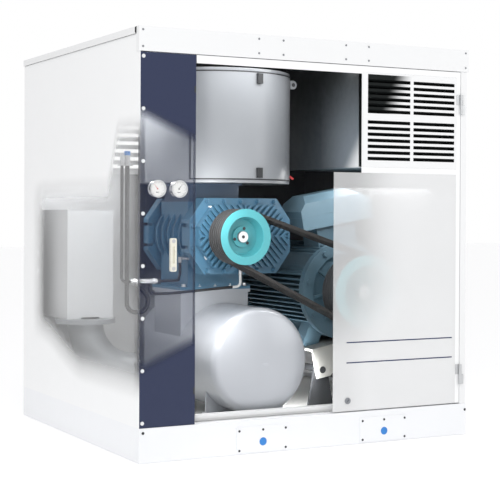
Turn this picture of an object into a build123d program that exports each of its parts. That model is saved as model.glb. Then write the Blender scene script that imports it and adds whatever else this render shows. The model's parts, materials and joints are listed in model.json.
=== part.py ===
from build123d import *

import os
from math import acos, asin, atan2, ceil, cos, degrees, hypot, pi, radians, sin, tan

# Belt-driven three-lobe rotary blower and vacuum pump in a sound enclosure.
# Millimetres. +X runs right along the front, +Y to the back, +Z up. The origin is
# on the floor, under the middle of the enclosure.

os.makedirs("parts", exist_ok=True)

# ---------------------------------------------------------------- clearances
seat = 0.3                  # gap where one piece is seated on another
running = 0.05              # radial gap of a shaft in its bearing
slot_gap = 3.0              # gap round the door and between panels

# ---------------------------------------------------------------- enclosure
width = 1630.0              # over the roof
depth = 1440.0              # over the base and the roof
height = 1750.0
base_height = 140.0
rail_width = 60.0           # base channels
rail_wall = 3.0
roof_overhang = 6.0         # the roof stands out past the side panels
roof_height = 28.0          # turned-down edge of the roof
skin = 2.0                  # sheet of the panels
tube = 32.0                 # square frame tube
tube_wall = 2.5
fascia_height = 100.0
fascia_depth = 28.0
plug_width = 8.0            # rubber plug between fascia and roof
plug_proud = 4.0

pocket_spacing = 607.0      # between the two fork pockets
pocket_offset = 56.5        # of their middle from the middle of the base
pocket_width = 225.0
pocket_height = 100.0
pocket_wall = 4.0
pocket_cover_width = 249.0
pocket_cover_height = 107.0
pan_thickness = 4.0

front_inset = 4.0           # door and strip panel stand back from the base and fascia
strip_width = 246.0         # dark panel left of the door
strip_depth = 20.0
door_depth = 30.0
door_bottom_gap = 5.0
lock_x = 175.0
lock_height = 50.0          # above the base
lock_radius = 14.0
lock_cam_length = 15.0
lock_cam_width = 16.0
lock_cam_thickness = 4.0
hinge_radius = 7.0
hinge_pin_radius = 4.0
hinge_length = 90.0
hinge_low = 135.0           # middle of the lower hinge above the base
hinge_high = 1359.0
hinge_leaf = 22.0
hinge_leaf_thickness = 3.0

grille_width = 506.0
grille_height = 415.0
grille_from_hinge = 21.0    # to the door's hinged edge
grille_below_fascia = 28.0
grille_frame = 27.0
grille_frame_right = 12.0
grille_mullion = 17.0
grille_rows_high = 6
grille_rows_low = 7
grille_pitch = 26.6
grille_slot = 15.3
grille_depth = 16.0
grille_split_up = 222.5     # middle of the bar between the two banks, above the grille's bottom
grille_split_bar = 27.0

duct_wall = 3.0
duct_depth = 314.0
duct_side_gap = 18.0        # door opening to duct wall on the right

lining = tube               # foam slabs fill the depth of the frame
vent_width = 420.0          # louvred air outlet in the rear panel
vent_x = -350.0
vent_slots = 7
vent_pitch = 40.0
vent_slot = 18.0
vent_below_roof = 492.0

# ---------------------------------------------------------------- oil and pressure gauges
gauge_spacing = 95.0
gauge_x = -680.5            # middle of the pair
gauge_z = 1100.0
gauge_radius = 31.5         # 63 mm dials
gauge_wall = 1.5
gauge_case_depth = 30.0
gauge_bezel = 2.5
glass_thickness = 2.0
needle_length = 23.0
needle_thickness = 1.0
needle_hub = 3.5
dial_pin_radius = 1.2
level_x = -664.0
level_bottom = 766.0
level_height = 135.0
level_width = 27.0
level_depth = 13.0
level_rod_radius = 5.0

# ---------------------------------------------------------------- discharge silencer (tank)
tank_x = -199.0
tank_radius = 231.0
tank_wall = 6.0
tank_front = -585.0         # seam of the front head
tank_length = 775.0
tank_head = 75.0            # bulge of each head
tank_knuckle = 42.0
tank_floor_gap = 29.0
mount_height = 25.0         # rubber mounts under the saddles
mount_radius = 24.0
saddle_thickness = 10.0
saddle_width = 380.0
saddle_height = 120.0
saddle_foot = 60.0
saddle_from_end = 120.0

# ---------------------------------------------------------------- blower
blower_x = -178.0
blower_front = -430.0       # face of the finned cover
cover_depth = 70.0
cover_width = 500.0
cover_height = 335.0
cover_corner_x = 70.0
cover_corner_z = 95.0
cover_rim = 30.0
fin_pitch = 23.0
fin_gap = 12.5
fin_depth = 16.0
fin_angle = 48.0
plate_depth = 58.0          # end plates
plate_rim = 14.0
rotor_length = 365.0
end_gap = 0.35              # rotor end faces to end plates
pitch_radius = 85.0         # of rotors and timing gears; shafts are two of these apart
lobes = 3
lobe_gap = 0.25             # taken off each rotor, square to its surface
casing_gap = 0.3            # rotor tip to bore, beyond lobe_gap
casing_wall = 20.0
rib_height = 18.0
rib_thickness = 10.0
ribs = 5
port_width = 230.0
port_length = 250.0
neck_height = 82.0          # blower to drum
foot_height = 32.0
cover_clear = 42.0          # finned cover to the foot
foot_width = 352.0
foot_length = 300.0
foot_plate = 14.0
foot_x = -245.0             # foot and riser sit off the blower's middle
shaft_radius = 24.0
bearing_radius = 48.0
bearing_width = 30.0
gear_teeth = 34
gear_width = 32.0
gear_bore_gap = 10.0        # rear plate to gear
gear_backlash = 0.5
gear_pressure_angle = 20.0
rear_cover_depth = 130.0
rear_cover_wall = 9.0
oil_plug_radius = 11.0
riser_height = 62.0
riser_wall = 8.0

# ---------------------------------------------------------------- intake drum and filter
drum_x = -198.0
drum_y = -150.0
drum_radius = 340.0
drum_roof_gap = 87.0
drum_wall = 3.0
drum_rim = 12.0
drum_cover_angle = 104.0    # access cover, as seen from the drum's axis
drum_cover_turn = -82.0
drum_cover_thickness = 8.0
filter_radius = 190.0
filter_inner = 120.0
filter_gap = 70.0           # drum's ends to the filter element
clamp_width = 26.0
clamp_height = 44.0

# ---------------------------------------------------------------- motor
motor_x = 356.0
motor_z = 649.0
motor_tilt = 10.0           # right side up, on its swinging base
motor_flange = -400.0       # front face
flange_radius = 224.7
flange_thickness = 34.0
flange_open = 168.0         # ring opening that shows the end shield
frame_radius = 170.0
fin_radius = 222.0
motor_fin = 6.0
motor_fin_pitch = 22.0
frame_length = 560.0
frame_bore = 122.0
stator_inner = 96.0
rotor_air_gap = 1.0
core_length = 300.0
motor_shaft_radius = 30.0
cowl_length = 140.0
cowl_wall = 3.0
fan_radius = 150.0
fan_blades = 8
fan_width = 40.0
shaft_height = 225.0
foot_spread = 356.0
foot_size = 80.0
foot_thickness = 18.0
foot_from_flange = 110.0
foot_pitch = 311.0
box_left = -139.0           # terminal box, across the motor from its shaft
box_length = 382.0
box_front = -350.0
box_depth = 200.0
box_bottom = 300.0
box_height = 60.0
lid_height = 95.0
box_wall = 5.0
eye_radius = 20.0

# ---------------------------------------------------------------- belt drive
pulley_front = -595.0
groove_pitch = 19.0
grooves = 6
pulley_margin = 11.0
blower_pulley_radius = 120.0
motor_pulley_radius = 167.5
groove_depth = 17.0
groove_top = 16.6
groove_bottom = 8.2
belt_gap = 0.5
belt_sink = 1.5             # belt back below the pulley rim
dish_depth = 46.0
pulley_rim = 34.0           # rim thickness, measured from the outside
motor_pulley_rim = 48.0
hub_radius = 62.0
bush_radius = 44.0
bush_proud = 8.0
nose_proud = 12.0           # shaft end past the bush

# ---------------------------------------------------------------- swinging motor base
base_front = -430.0
base_back = 90.0
base_plate = 12.0
base_flange = 10.0
base_plate_left = -232.0
base_plate_right = 352.0
pivot_x = 222.0
pivot_z = 292.0
pivot_radius = 16.0
pivot_lug = 14.0
strut_x = 700.0
strut_y = -390.0
strut_radius = 9.0
strut_top = 676.0
spring_radius = 24.0
spring_wire = 4.5
spring_turns = 6
spring_top = 585.0
beam_width = 70.0
strut_slot = 44.0
support_plate = 12.0
support_gap = 6.0

# ---------------------------------------------------------------- outlet
outlet_from_wall = 181.0    # middle of the outlet box to the side panel
outlet_y = 350.0
outlet_width = 230.0
outlet_front = 285.0
outlet_back_gap = 10.65     # to the lining
outlet_bottom = 500.0
outlet_height = 514.0
outlet_wall = 4.0
pipe_radius = 84.15         # DN 150
pipe_wall = 4.5
bend_radius = 229.0
bend_turn = -28.0           # the lower leg turns towards the tank
leg_short = 59.0            # the pipe ends this far left of the tank's axis
flange_outer = 142.5        # DN 150, PN 10
flange_pcd = 240.0
flange_holes = 8
flange_hole_radius = 11.0
flange_depth = 22.0

# ---------------------------------------------------------------- oil lines
hose_y = -420.0
clip_z = 1200.0             # clip under the two stand-pipes' ends
fill_from_wall = 36.35      # thick stand-pipe to the lining
vent_hose_from_wall = 12.35
fill_radius = 9.5
vent_hose_radius = 6.5
manifold_z = 712.0
manifold_gap = 16.0
manifold_length = 122.0
manifold_radius = 11.0
loop_depth = 130.0          # the thick pipe's loop hangs below the manifold
loop_width = 95.0
loop_rise = 70.0
loop_back = 41.0
line_radius = 6.0
line_bend = 20.0
line_sag = 54.0
port_fitting = 34.0
socket_height = 44.0
socket_wall = 2.5
clip_thickness = 4.0

# ---------------------------------------------------------------- derived planes
panel_x = width / 2 - roof_overhang
front = -depth / 2
rear = depth / 2
face = front + front_inset             # front of door and strip panel
hinge_y = face - hinge_radius - seat
rear_limit = hinge_radius - hinge_y    # the outlet flange stands out as far as the hinges
floor_z = rail_wall + pocket_height + pan_thickness
roof_z = height - roof_height
fascia_bottom = height - fascia_height
door_bottom = base_height + door_bottom_gap
door_top = fascia_bottom - slot_gap
post_inner = panel_x - skin - tube
strip_left = -(panel_x - skin)
strip_right = strip_left + strip_width
door_left = strip_right + slot_gap
door_right = post_inner - slot_gap
grille_right = door_right - grille_from_hinge
grille_left = grille_right - grille_width
grille_top = fascia_bottom - grille_below_fascia
grille_bottom = grille_top - grille_height
grille_split = grille_bottom + grille_split_up
vent_bottom = roof_z - vent_below_roof
tank_z = floor_z + tank_floor_gap + tank_radius
foot_bottom = tank_z + tank_radius + riser_height
blower_z = foot_bottom + foot_height + cover_clear + cover_height / 2
drive_x = blower_x - pitch_radius
driven_x = blower_x + pitch_radius
cover_back = blower_front + cover_depth
rotor_front = cover_back + plate_depth
rotor_back = rotor_front + rotor_length
rear_plate_back = rotor_back + plate_depth
bore_radius = pitch_radius * (1 + 1 / lobes) + casing_gap
casing_radius = bore_radius + casing_wall
neck_bottom = blower_z + casing_radius + rib_height + seat
drum_bottom = neck_bottom + neck_height
drum_height = roof_z - drum_roof_gap - drum_bottom
filter_height = drum_height - 2 * filter_gap
pulley_width = 2 * pulley_margin + (grooves - 1) * groove_pitch
pulley_back = pulley_front + pulley_width
nose = pulley_front + dish_depth - bush_proud - nose_proud
outlet_x = outlet_from_wall - panel_x
outlet_z = outlet_bottom + outlet_height / 2
outlet_length = rear - skin - seat - lining - outlet_back_gap - outlet_front
pocket_x = [pocket_offset - pocket_spacing / 2, pocket_offset + pocket_spacing / 2]


def across(y):
    """Plane across the shafts at y: local x is X, local y is Z, and it faces the front."""
    return Plane.XZ.offset(-y)


def on_motor(y):
    """The same, about the motor's shaft and tilted with it."""
    lean = radians(motor_tilt)
    return Plane(origin=(motor_x, y, motor_z), x_dir=(cos(lean), 0, sin(lean)), z_dir=(0, -1, 0))


def octagon(wide, high, cut_x, cut_z):
    """Corners of a rectangle with its corners cut off, about the blower's middle."""
    x, z = wide / 2, high / 2
    corners = [(x - cut_x, z), (x, z - cut_z), (x, cut_z - z), (x - cut_x, -z)]
    mirrored = [(-a, b) for a, b in reversed(corners)]
    return [(blower_x + a, blower_z + b) for a, b in corners + mirrored]


# ================================================================ enclosure
# Base: channels all round, open inwards, with the fork openings cut in front and rear.
with BuildPart() as base_rails:
    for side in (-1, 1):
        with Locations((0, side * (rear - rail_width / 2), base_height / 2)):
            Box(2 * panel_x, rail_width, base_height)
        with Locations((0, side * (rear - rail_wall - rail_width / 2), base_height / 2)):
            Box(2 * (panel_x - rail_wall), rail_width, base_height - 2 * rail_wall, mode=Mode.SUBTRACT)
        for x in pocket_x:
            with Locations((x, side * (rear - rail_wall), rail_wall + pocket_height / 2)):
                Box(pocket_width, 4 * rail_wall, pocket_height - 2 * pocket_wall, mode=Mode.SUBTRACT)
        side_length = depth - 2 * rail_width - 2 * seat
        with Locations((side * (panel_x - rail_width / 2), 0, base_height / 2)):
            Box(rail_width, side_length, base_height)
        with Locations((side * (panel_x - rail_wall - rail_width / 2), 0, base_height / 2)):
            Box(rail_width, side_length, base_height - 2 * rail_wall, mode=Mode.SUBTRACT)
base_rails.part.label = "base_rails"
export_step(base_rails.part, "parts/base_rails.step")

with BuildPart() as fork_pockets:
    for x in pocket_x:
        with Locations((x, 0, rail_wall + pocket_height / 2)):
            Box(pocket_width + 2 * pocket_wall, depth - 2 * rail_wall, pocket_height)
            Box(pocket_width, depth, pocket_height - 2 * pocket_wall, mode=Mode.SUBTRACT)
fork_pockets.part.label = "fork_pockets"
export_step(fork_pockets.part, "parts/fork_pockets.step")

with BuildPart() as pocket_covers:
    for side in (-1, 1):
        for x in pocket_x:
            with Locations((x, side * (rear + rail_wall / 2), pocket_cover_height / 2 + 2 * rail_wall)):
                Box(pocket_cover_width, rail_wall, pocket_cover_height)
pocket_covers.part.label = "pocket_covers"
export_step(pocket_covers.part, "parts/pocket_covers.step")

with BuildPart() as floor_pan:
    with Locations((0, 0, floor_z - pan_thickness / 2)):
        Box(2 * (panel_x - rail_wall), depth - 2 * rail_wall, pan_thickness)
floor_pan.part.label = "floor_pan"
export_step(floor_pan.part, "parts/floor_pan.step")

# Frame of square tube: four posts, then rails along X and along Y at the bottom and top.
# The door's keeper is welded on the front sill.
post_x = panel_x - skin - tube / 2
front_post_y = {-1: face + strip_depth + seat + tube / 2, 1: face + tube / 2}
rear_post_y = rear - skin - tube / 2
sill_y = face + door_depth + slot_gap + tube / 2
head_y = front + fascia_depth + seat + tube / 2
rail_low = base_height + tube / 2
rail_high = roof_z - seat - tube / 2
lock_z = base_height + lock_height
cam_y = face + door_depth + slot_gap + lock_cam_thickness
keeper_top = lock_z - lock_radius + 3.0
keeper_front = face + door_depth + slot_gap
with BuildPart() as frame_tubes:
    for side in (-1, 1):
        for y, top in ((front_post_y[side], fascia_bottom - seat), (rear_post_y, roof_z - seat)):
            with Locations((side * post_x, y, (base_height + top) / 2)):
                Box(tube, tube, top - base_height)
                Box(tube - 2 * tube_wall, tube - 2 * tube_wall, top, mode=Mode.SUBTRACT)
        for z, y0 in ((rail_low, front_post_y[side] + tube / 2), (rail_high, head_y - tube / 2)):
            y1 = rear_post_y - tube / 2
            with Locations((side * post_x, (y0 + y1) / 2, z)):
                Box(tube, y1 - y0 - 2 * seat, tube)
                Box(tube - 2 * tube_wall, y1 - y0, tube - 2 * tube_wall, mode=Mode.SUBTRACT)
    for y, z in ((sill_y, rail_low), (head_y, rail_high), (rear_post_y, rail_low), (rear_post_y, rail_high)):
        with Locations((0, y, z)):
            Box(2 * (post_x - tube / 2 - seat), tube, tube)
            Box(2 * post_x, tube - 2 * tube_wall, tube - 2 * tube_wall, mode=Mode.SUBTRACT)
    with Locations((lock_x, (keeper_front + cam_y - seat) / 2, (base_height + tube + keeper_top) / 2)):
        Box(2 * lock_cam_length + lock_cam_width, cam_y - seat - keeper_front,
            keeper_top - base_height - tube)
frame_tubes.part.label = "frame_tubes"
export_step(frame_tubes.part, "parts/frame_tubes.step")

side_panel_front = face
side_panel_back = rear - skin - seat
with BuildPart() as side_panels:
    for side in (-1, 1):
        with Locations((side * (panel_x - skin / 2), (side_panel_front + side_panel_back) / 2,
                        (base_height + fascia_bottom) / 2)):
            Box(skin, side_panel_back - side_panel_front, fascia_bottom - base_height)
        with Locations((side * (panel_x - skin / 2), (head_y - tube / 2 + side_panel_back) / 2,
                        (fascia_bottom + roof_z) / 2)):
            Box(skin, side_panel_back - head_y + tube / 2, roof_z - fascia_bottom)
side_panels.part.label = "side_panels"
export_step(side_panels.part, "parts/side_panels.step")

with BuildPart() as rear_panel:
    with Locations((0, rear - skin / 2, (base_height + roof_z) / 2)):
        Box(2 * panel_x, skin, roof_z - base_height)
    with BuildSketch(across(rear)):
        with Locations((outlet_x, outlet_z)):
            Circle(flange_outer + slot_gap)
        for i in range(vent_slots):
            with Locations((vent_x, vent_bottom + vent_slot / 2 + i * vent_pitch)):
                SlotOverall(vent_width, vent_slot)
    extrude(amount=skin, mode=Mode.SUBTRACT)
rear_panel.part.label = "rear_panel"
export_step(rear_panel.part, "parts/rear_panel.step")

roof_front = front + fascia_depth + plug_width
with BuildPart() as roof:
    with Locations((0, (roof_front + rear) / 2, roof_z + roof_height / 2)):
        Box(width, rear - roof_front, roof_height)
    with Locations((0, (roof_front + rear) / 2, roof_z + roof_height / 2 - skin)):
        Box(width - 2 * skin, rear - roof_front - 2 * skin, roof_height, mode=Mode.SUBTRACT)
roof.part.label = "roof"
export_step(roof.part, "parts/roof.step")

with BuildPart() as fascia:
    with Locations((0, front + fascia_depth / 2, height - fascia_height / 2)):
        Box(width, fascia_depth, fascia_height)
    with Locations((0, front + fascia_depth / 2 + skin, height - fascia_height / 2)):
        Box(width - 2 * skin, fascia_depth, fascia_height - 2 * skin, mode=Mode.SUBTRACT)
fascia.part.label = "fascia"
export_step(fascia.part, "parts/fascia.step")

with BuildPart() as roof_plugs:
    for side in (-1, 1):
        with Locations((side * (width / 2 + plug_proud - roof_height / 2), roof_front - plug_width / 2,
                        roof_z + roof_height / 2)):
            Box(roof_height, plug_width - 2 * seat, roof_height)
    fillet(roof_plugs.edges().filter_by(Axis.Y), roof_height / 4)
roof_plugs.part.label = "roof_plugs"
export_step(roof_plugs.part, "parts/roof_plugs.step")

# Foam slabs fill the frame: rear wall round the vent, side walls and roof.
lining_low = base_height + tube + seat
lining_high = roof_z - tube - 2 * seat
vent_left = vent_x - vent_width / 2 - tube
vent_right = vent_x + vent_width / 2 + tube
rear_bands = [
    (-(post_x - tube / 2 - seat), post_x - tube / 2 - seat, lining_low, vent_bottom - tube),
    (-(post_x - tube / 2 - seat), vent_left, vent_bottom - tube + seat, lining_high),
    (vent_right, post_x - tube / 2 - seat, vent_bottom - tube + seat, lining_high),
]
side_lining_front = front_post_y[1] + tube / 2 + seat
side_lining_back = rear_post_y - tube / 2 - seat
with BuildPart() as acoustic_lining:
    for x0, x1, z0, z1 in rear_bands:
        with Locations(((x0 + x1) / 2, rear - skin - seat - lining / 2, (z0 + z1) / 2)):
            Box(x1 - x0, lining, z1 - z0)
    with BuildSketch(across(rear)):
        with Locations((outlet_x, outlet_z)):
            Circle(flange_outer + slot_gap)
    extrude(amount=2 * lining, mode=Mode.SUBTRACT)
    with Locations((panel_x - skin - seat - lining / 2, (side_lining_front + side_lining_back) / 2,
                    (lining_low + lining_high) / 2)):
        Box(lining, side_lining_back - side_lining_front, lining_high - lining_low)
    with Locations((0, (roof_front + rear) / 2, height - skin - seat - roof_height / 2 + skin)):
        Box(width - 2 * skin - 2 * seat, rear - roof_front - 2 * skin - 2 * seat, roof_height - 2 * skin)
    left_lining_front = front_post_y[-1] + tube / 2 + seat
    with Locations((-(panel_x - skin - seat - lining / 2), (left_lining_front + side_lining_back) / 2,
                    (lining_low + lining_high) / 2)):
        Box(lining, side_lining_back - left_lining_front, lining_high - lining_low)
acoustic_lining.part.label = "acoustic_lining"
export_step(acoustic_lining.part, "parts/acoustic_lining.step")

# Cooling air comes in through the door's grille and down this duct, open at the back.
duct_left = grille_left
duct_right = grille_right + duct_side_gap - duct_wall
duct_front = face + door_depth + slot_gap
duct_bottom = grille_bottom
duct_top = roof_z - seat
with BuildPart() as air_duct:
    with Locations(((duct_left + duct_right) / 2, duct_front + duct_depth / 2, (duct_bottom + duct_top) / 2)):
        Box(duct_right - duct_left, duct_depth, duct_top - duct_bottom)
    with Locations(((duct_left + duct_right) / 2, duct_front + duct_depth / 2, (duct_bottom + duct_top) / 2
                    + duct_wall)):
        Box(duct_right - duct_left - 2 * duct_wall, duct_depth, duct_top - duct_bottom, mode=Mode.SUBTRACT)
    with Locations((0, head_y, rail_high)):
        Box(width, tube + 2 * seat, tube + 2 * seat, mode=Mode.SUBTRACT)
air_duct.part.label = "air_duct"
export_step(air_duct.part, "parts/air_duct.step")

# Dark panel left of the door, a shallow tray that carries the gauges.
gauge_places = [(gauge_x - gauge_spacing / 2, gauge_z), (gauge_x + gauge_spacing / 2, gauge_z)]
gauge_case_radius = gauge_radius + gauge_wall
strip_low = base_height + seat
strip_high = fascia_bottom - slot_gap
with BuildPart() as front_strip:
    with Locations(((strip_left + strip_right) / 2, face + strip_depth / 2, (strip_low + strip_high) / 2)):
        Box(strip_right - strip_left, strip_depth, strip_high - strip_low)
    with Locations(((strip_left + strip_right) / 2, face + strip_depth / 2 + skin,
                    (strip_low + strip_high) / 2)):
        Box(strip_right - strip_left - 2 * skin, strip_depth, strip_high - strip_low - 2 * skin,
            mode=Mode.SUBTRACT)
    with BuildSketch(across(face)):
        with Locations(*gauge_places):
            Circle(gauge_case_radius + seat)
    extrude(amount=-skin, mode=Mode.SUBTRACT)
front_strip.part.label = "front_strip"
export_step(front_strip.part, "parts/front_strip.step")

# ---------------------------------------------------------------- door
with BuildPart() as door_panel:
    with Locations(((door_left + door_right) / 2, face + door_depth / 2, (door_bottom + door_top) / 2)):
        Box(door_right - door_left, door_depth, door_top - door_bottom)
    with Locations(((door_left + door_right) / 2, face + door_depth / 2 + skin,
                    (door_bottom + door_top) / 2)):
        Box(door_right - door_left - 2 * skin, door_depth, door_top - door_bottom - 2 * skin,
            mode=Mode.SUBTRACT)
    with BuildSketch(across(face)):
        with Locations(((grille_left + grille_right) / 2, (grille_bottom + grille_top) / 2)):
            Rectangle(grille_right - grille_left, grille_top - grille_bottom)
        with Locations((lock_x, base_height + lock_height)):
            Circle(lock_radius - 4 + seat)
    extrude(amount=-skin, mode=Mode.SUBTRACT)
door_panel.part.label = "door_panel"
export_step(door_panel.part, "parts/door_panel.step")

# Grille of two banks of slots, each slot sloping down to the back to throw off water.
low_bank = (grille_bottom + grille_frame + grille_split - grille_split_bar / 2) / 2
high_bank = (grille_split + grille_split_bar / 2 + grille_top - grille_frame) / 2
column_width = (grille_right - grille_left - grille_frame - grille_frame_right - grille_mullion) / 2
slot_columns = [grille_left + grille_frame + column_width / 2,
                grille_right - grille_frame_right - column_width / 2]
slot_heights = [low_bank + (i - (grille_rows_low - 1) / 2) * grille_pitch for i in range(grille_rows_low)]
slot_heights += [high_bank + (i - (grille_rows_high - 1) / 2) * grille_pitch for i in range(grille_rows_high)]
with BuildPart() as door_grille:
    with Locations(((grille_left + grille_right) / 2, face + grille_depth / 2,
                    (grille_bottom + grille_top) / 2)):
        Box(grille_right - grille_left - 2 * seat, grille_depth, grille_top - grille_bottom - 2 * seat)
    for x in slot_columns:
        with BuildSketch(Plane.YZ.offset(x - column_width / 2)):
            for z in slot_heights:
                Polygon((face, z - grille_slot / 2), (face, z + grille_slot / 2),
                        (face + grille_depth, z + grille_slot / 2 - grille_depth / 2),
                        (face + grille_depth, z - grille_slot / 2 - grille_depth / 2), align=None)
        extrude(amount=column_width, mode=Mode.SUBTRACT)
door_grille.part.label = "door_grille"
export_step(door_grille.part, "parts/door_grille.step")

seal_width = 12.0
with BuildPart() as door_seal:
    seal_y = face + door_depth + (slot_gap - seat) / 2
    for x in (door_left + seal_width, door_right - seal_width):
        with Locations((x, seal_y, (door_bottom + door_top) / 2)):
            Box(seal_width, slot_gap - seat, door_top - door_bottom - 2 * seal_width)
    for z in (door_bottom + seal_width / 2, door_top - seal_width / 2):
        with Locations(((door_left + door_right) / 2, seal_y, z)):
            Box(door_right - door_left - seal_width, slot_gap - seat, seal_width)
door_seal.part.label = "door_seal"
export_step(door_seal.part, "parts/door_seal.step")

# Lift-off hinges: the pin and the lower knuckle stay on the post, the upper knuckle on the door.
hinge_x = door_right + slot_gap / 2
hinge_heights = [base_height + hinge_low, base_height + hinge_high]
with BuildPart() as hinge_posts:
    for z in hinge_heights:
        with BuildSketch(Plane.XY.offset(z - hinge_length / 2)):
            with Locations((hinge_x, hinge_y)):
                Circle(hinge_radius)
            with Locations((hinge_x + hinge_leaf / 2, face - hinge_leaf_thickness / 2)):
                Rectangle(hinge_leaf, hinge_leaf_thickness)
        extrude(amount=hinge_length / 2 - seat)
        with BuildSketch(Plane.XY.offset(z - seat)):
            with Locations((hinge_x, hinge_y)):
                Circle(hinge_pin_radius)
        extrude(amount=hinge_length / 2 - hinge_radius)
hinge_posts.part.label = "hinge_posts"
export_step(hinge_posts.part, "parts/hinge_posts.step")

with BuildPart() as hinge_leaves:
    for z in hinge_heights:
        with BuildSketch(Plane.XY.offset(z)):
            with Locations((hinge_x, hinge_y)):
                Circle(hinge_radius)
            with Locations((hinge_x - hinge_leaf / 2, face - hinge_leaf_thickness / 2)):
                Rectangle(hinge_leaf, hinge_leaf_thickness)
        extrude(amount=hinge_length / 2)
        with BuildSketch(Plane.XY.offset(z)):
            with Locations((hinge_x, hinge_y)):
                Circle(hinge_pin_radius + running)
        extrude(amount=hinge_length / 2 - hinge_radius + seat, mode=Mode.SUBTRACT)
hinge_leaves.part.label = "hinge_leaves"
export_step(hinge_leaves.part, "parts/hinge_leaves.step")

# Quarter-turn lock, drawn open: a quarter turn brings its cam down behind the keeper.
with BuildPart() as door_lock:
    with BuildSketch(across(face - seat)):
        with Locations((lock_x, lock_z)):
            Circle(lock_radius)
            Rectangle(lock_radius, hinge_leaf_thickness, rotation=45, mode=Mode.SUBTRACT)
    extrude(amount=hinge_leaf_thickness)
    with BuildSketch(across(face - seat)):
        with Locations((lock_x, lock_z)):
            Circle(lock_radius - 4)
    extrude(amount=-(cam_y - face + seat))
    with BuildSketch(across(cam_y)):
        with Locations((lock_x, lock_z)):
            Circle(lock_cam_width / 2)
        with Locations((lock_x + lock_cam_length / 2, lock_z)):
            Rectangle(lock_cam_length, lock_cam_width)
    extrude(amount=-lock_cam_thickness)
door_lock.part.label = "door_lock"
export_step(door_lock.part, "parts/door_lock.step")

# ---------------------------------------------------------------- gauges in the strip panel
dial_y = face + 6.0
with BuildPart() as gauge_cases:
    for x, z in gauge_places:
        with BuildSketch(across(face - gauge_bezel - seat)):
            with Locations((x, z)):
                Circle(gauge_case_radius + gauge_bezel)
        extrude(amount=-gauge_bezel)
        with BuildSketch(across(face)):
            with Locations((x, z)):
                Circle(gauge_case_radius)
        extrude(amount=-gauge_case_depth)
        with BuildSketch(across(face - seat)):
            with Locations((x, z)):
                Circle(gauge_case_radius)
        extrude(amount=-seat)
        with BuildSketch(across(face - gauge_bezel - seat)):
            with Locations((x, z)):
                Circle(gauge_radius)
        extrude(amount=-(dial_y - face + gauge_bezel + seat), mode=Mode.SUBTRACT)
        with BuildSketch(across(dial_y)):
            with Locations((x, z)):
                Circle(dial_pin_radius)
        extrude(amount=2 * needle_thickness + 2 * seat)
gauge_cases.part.label = "gauge_cases"
export_step(gauge_cases.part, "parts/gauge_cases.step")

with BuildPart() as gauge_glasses:
    with BuildSketch(across(face)):
        with Locations(*gauge_places):
            Circle(gauge_radius - seat / 2)
    extrude(amount=glass_thickness)
gauge_glasses.part.label = "gauge_glasses"
export_step(gauge_glasses.part, "parts/gauge_glasses.step")

for name, (x, z), turn in (("vacuum_needle", gauge_places[0], 130), ("pressure_needle", gauge_places[1], 55)):
    with BuildPart() as needle:
        with BuildSketch(across(dial_y - 2 * seat)):
            with Locations(Location((x, z), turn)):
                Circle(needle_hub)
                Polygon((-needle_hub, -1.5), (needle_length, -0.4), (needle_length, 0.4), (-needle_hub, 1.5),
                        align=None)
                Circle(dial_pin_radius + running, mode=Mode.SUBTRACT)
        extrude(amount=needle_thickness)
    needle.part.label = name
    export_step(needle.part, f"parts/{name}.step")

# Oil level column: a clear tube in a channel between two hollow bolts.
with BuildPart() as oil_level_gauge:
    with Locations((level_x, face - level_depth / 2, level_bottom + level_height / 2)):
        Box(level_width, level_depth, level_height)
    fillet(oil_level_gauge.edges().filter_by(Axis.Y), level_width / 4)
    with Locations((level_x, face - level_depth, level_bottom + level_height / 2)):
        Box(level_width / 3, level_depth, level_height - 2.5 * level_width, mode=Mode.SUBTRACT)
oil_level_gauge.part.label = "oil_level_gauge"
export_step(oil_level_gauge.part, "parts/oil_level_gauge.step")

# ================================================================ discharge silencer
tank_back = tank_front + tank_length


def tank_body(inset):
    """The tank's body of revolution with dished heads, inset by a wall thickness."""
    radius, bulge, knuckle = tank_radius - inset, tank_head - inset, tank_knuckle - inset
    crown = (bulge**2 + (radius - knuckle)**2 - knuckle**2) / (2 * (bulge - knuckle))
    spread = asin((radius - knuckle) / (crown - knuckle))
    turned = (spread + radians(90)) / 2
    half = (crown * sin(spread / 2), bulge - crown * (1 - cos(spread / 2)))
    join = (crown * sin(spread), bulge - crown * (1 - cos(spread)))
    bend = (radius - knuckle + knuckle * sin(turned), knuckle * cos(turned))
    with BuildPart() as body:
        with BuildSketch(Plane(origin=(tank_x, 0, tank_z), x_dir=(1, 0, 0), z_dir=(0, 0, 1))):
            with BuildLine():
                for seam, way in ((tank_front, -1), (tank_back, 1)):
                    crown_end, crown_mid = (0, seam + way * bulge), (half[0], seam + way * half[1])
                    knuckle_end = (join[0], seam + way * join[1])
                    knuckle_mid = (bend[0], seam + way * bend[1])
                    ThreePointArc(crown_end, crown_mid, knuckle_end)
                    ThreePointArc(knuckle_end, knuckle_mid, (radius, seam))
                Line((radius, tank_front), (radius, tank_back))
                Line((0, tank_back + bulge), (0, tank_front - bulge))
            make_face()
        revolve(axis=Axis((tank_x, 0, tank_z), (0, 1, 0)))
    return body.part


# The discharge pipe's lower leg runs from under the outlet box into the tank.
leg_z = outlet_bottom - bend_radius - flange_depth
leg_way = (cos(radians(bend_turn)), sin(radians(bend_turn)))
elbow_reach = (tank_x - leg_short - outlet_x) / leg_way[0]
leg_end = (outlet_x + elbow_reach * leg_way[0], outlet_y + elbow_reach * leg_way[1], leg_z)

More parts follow.
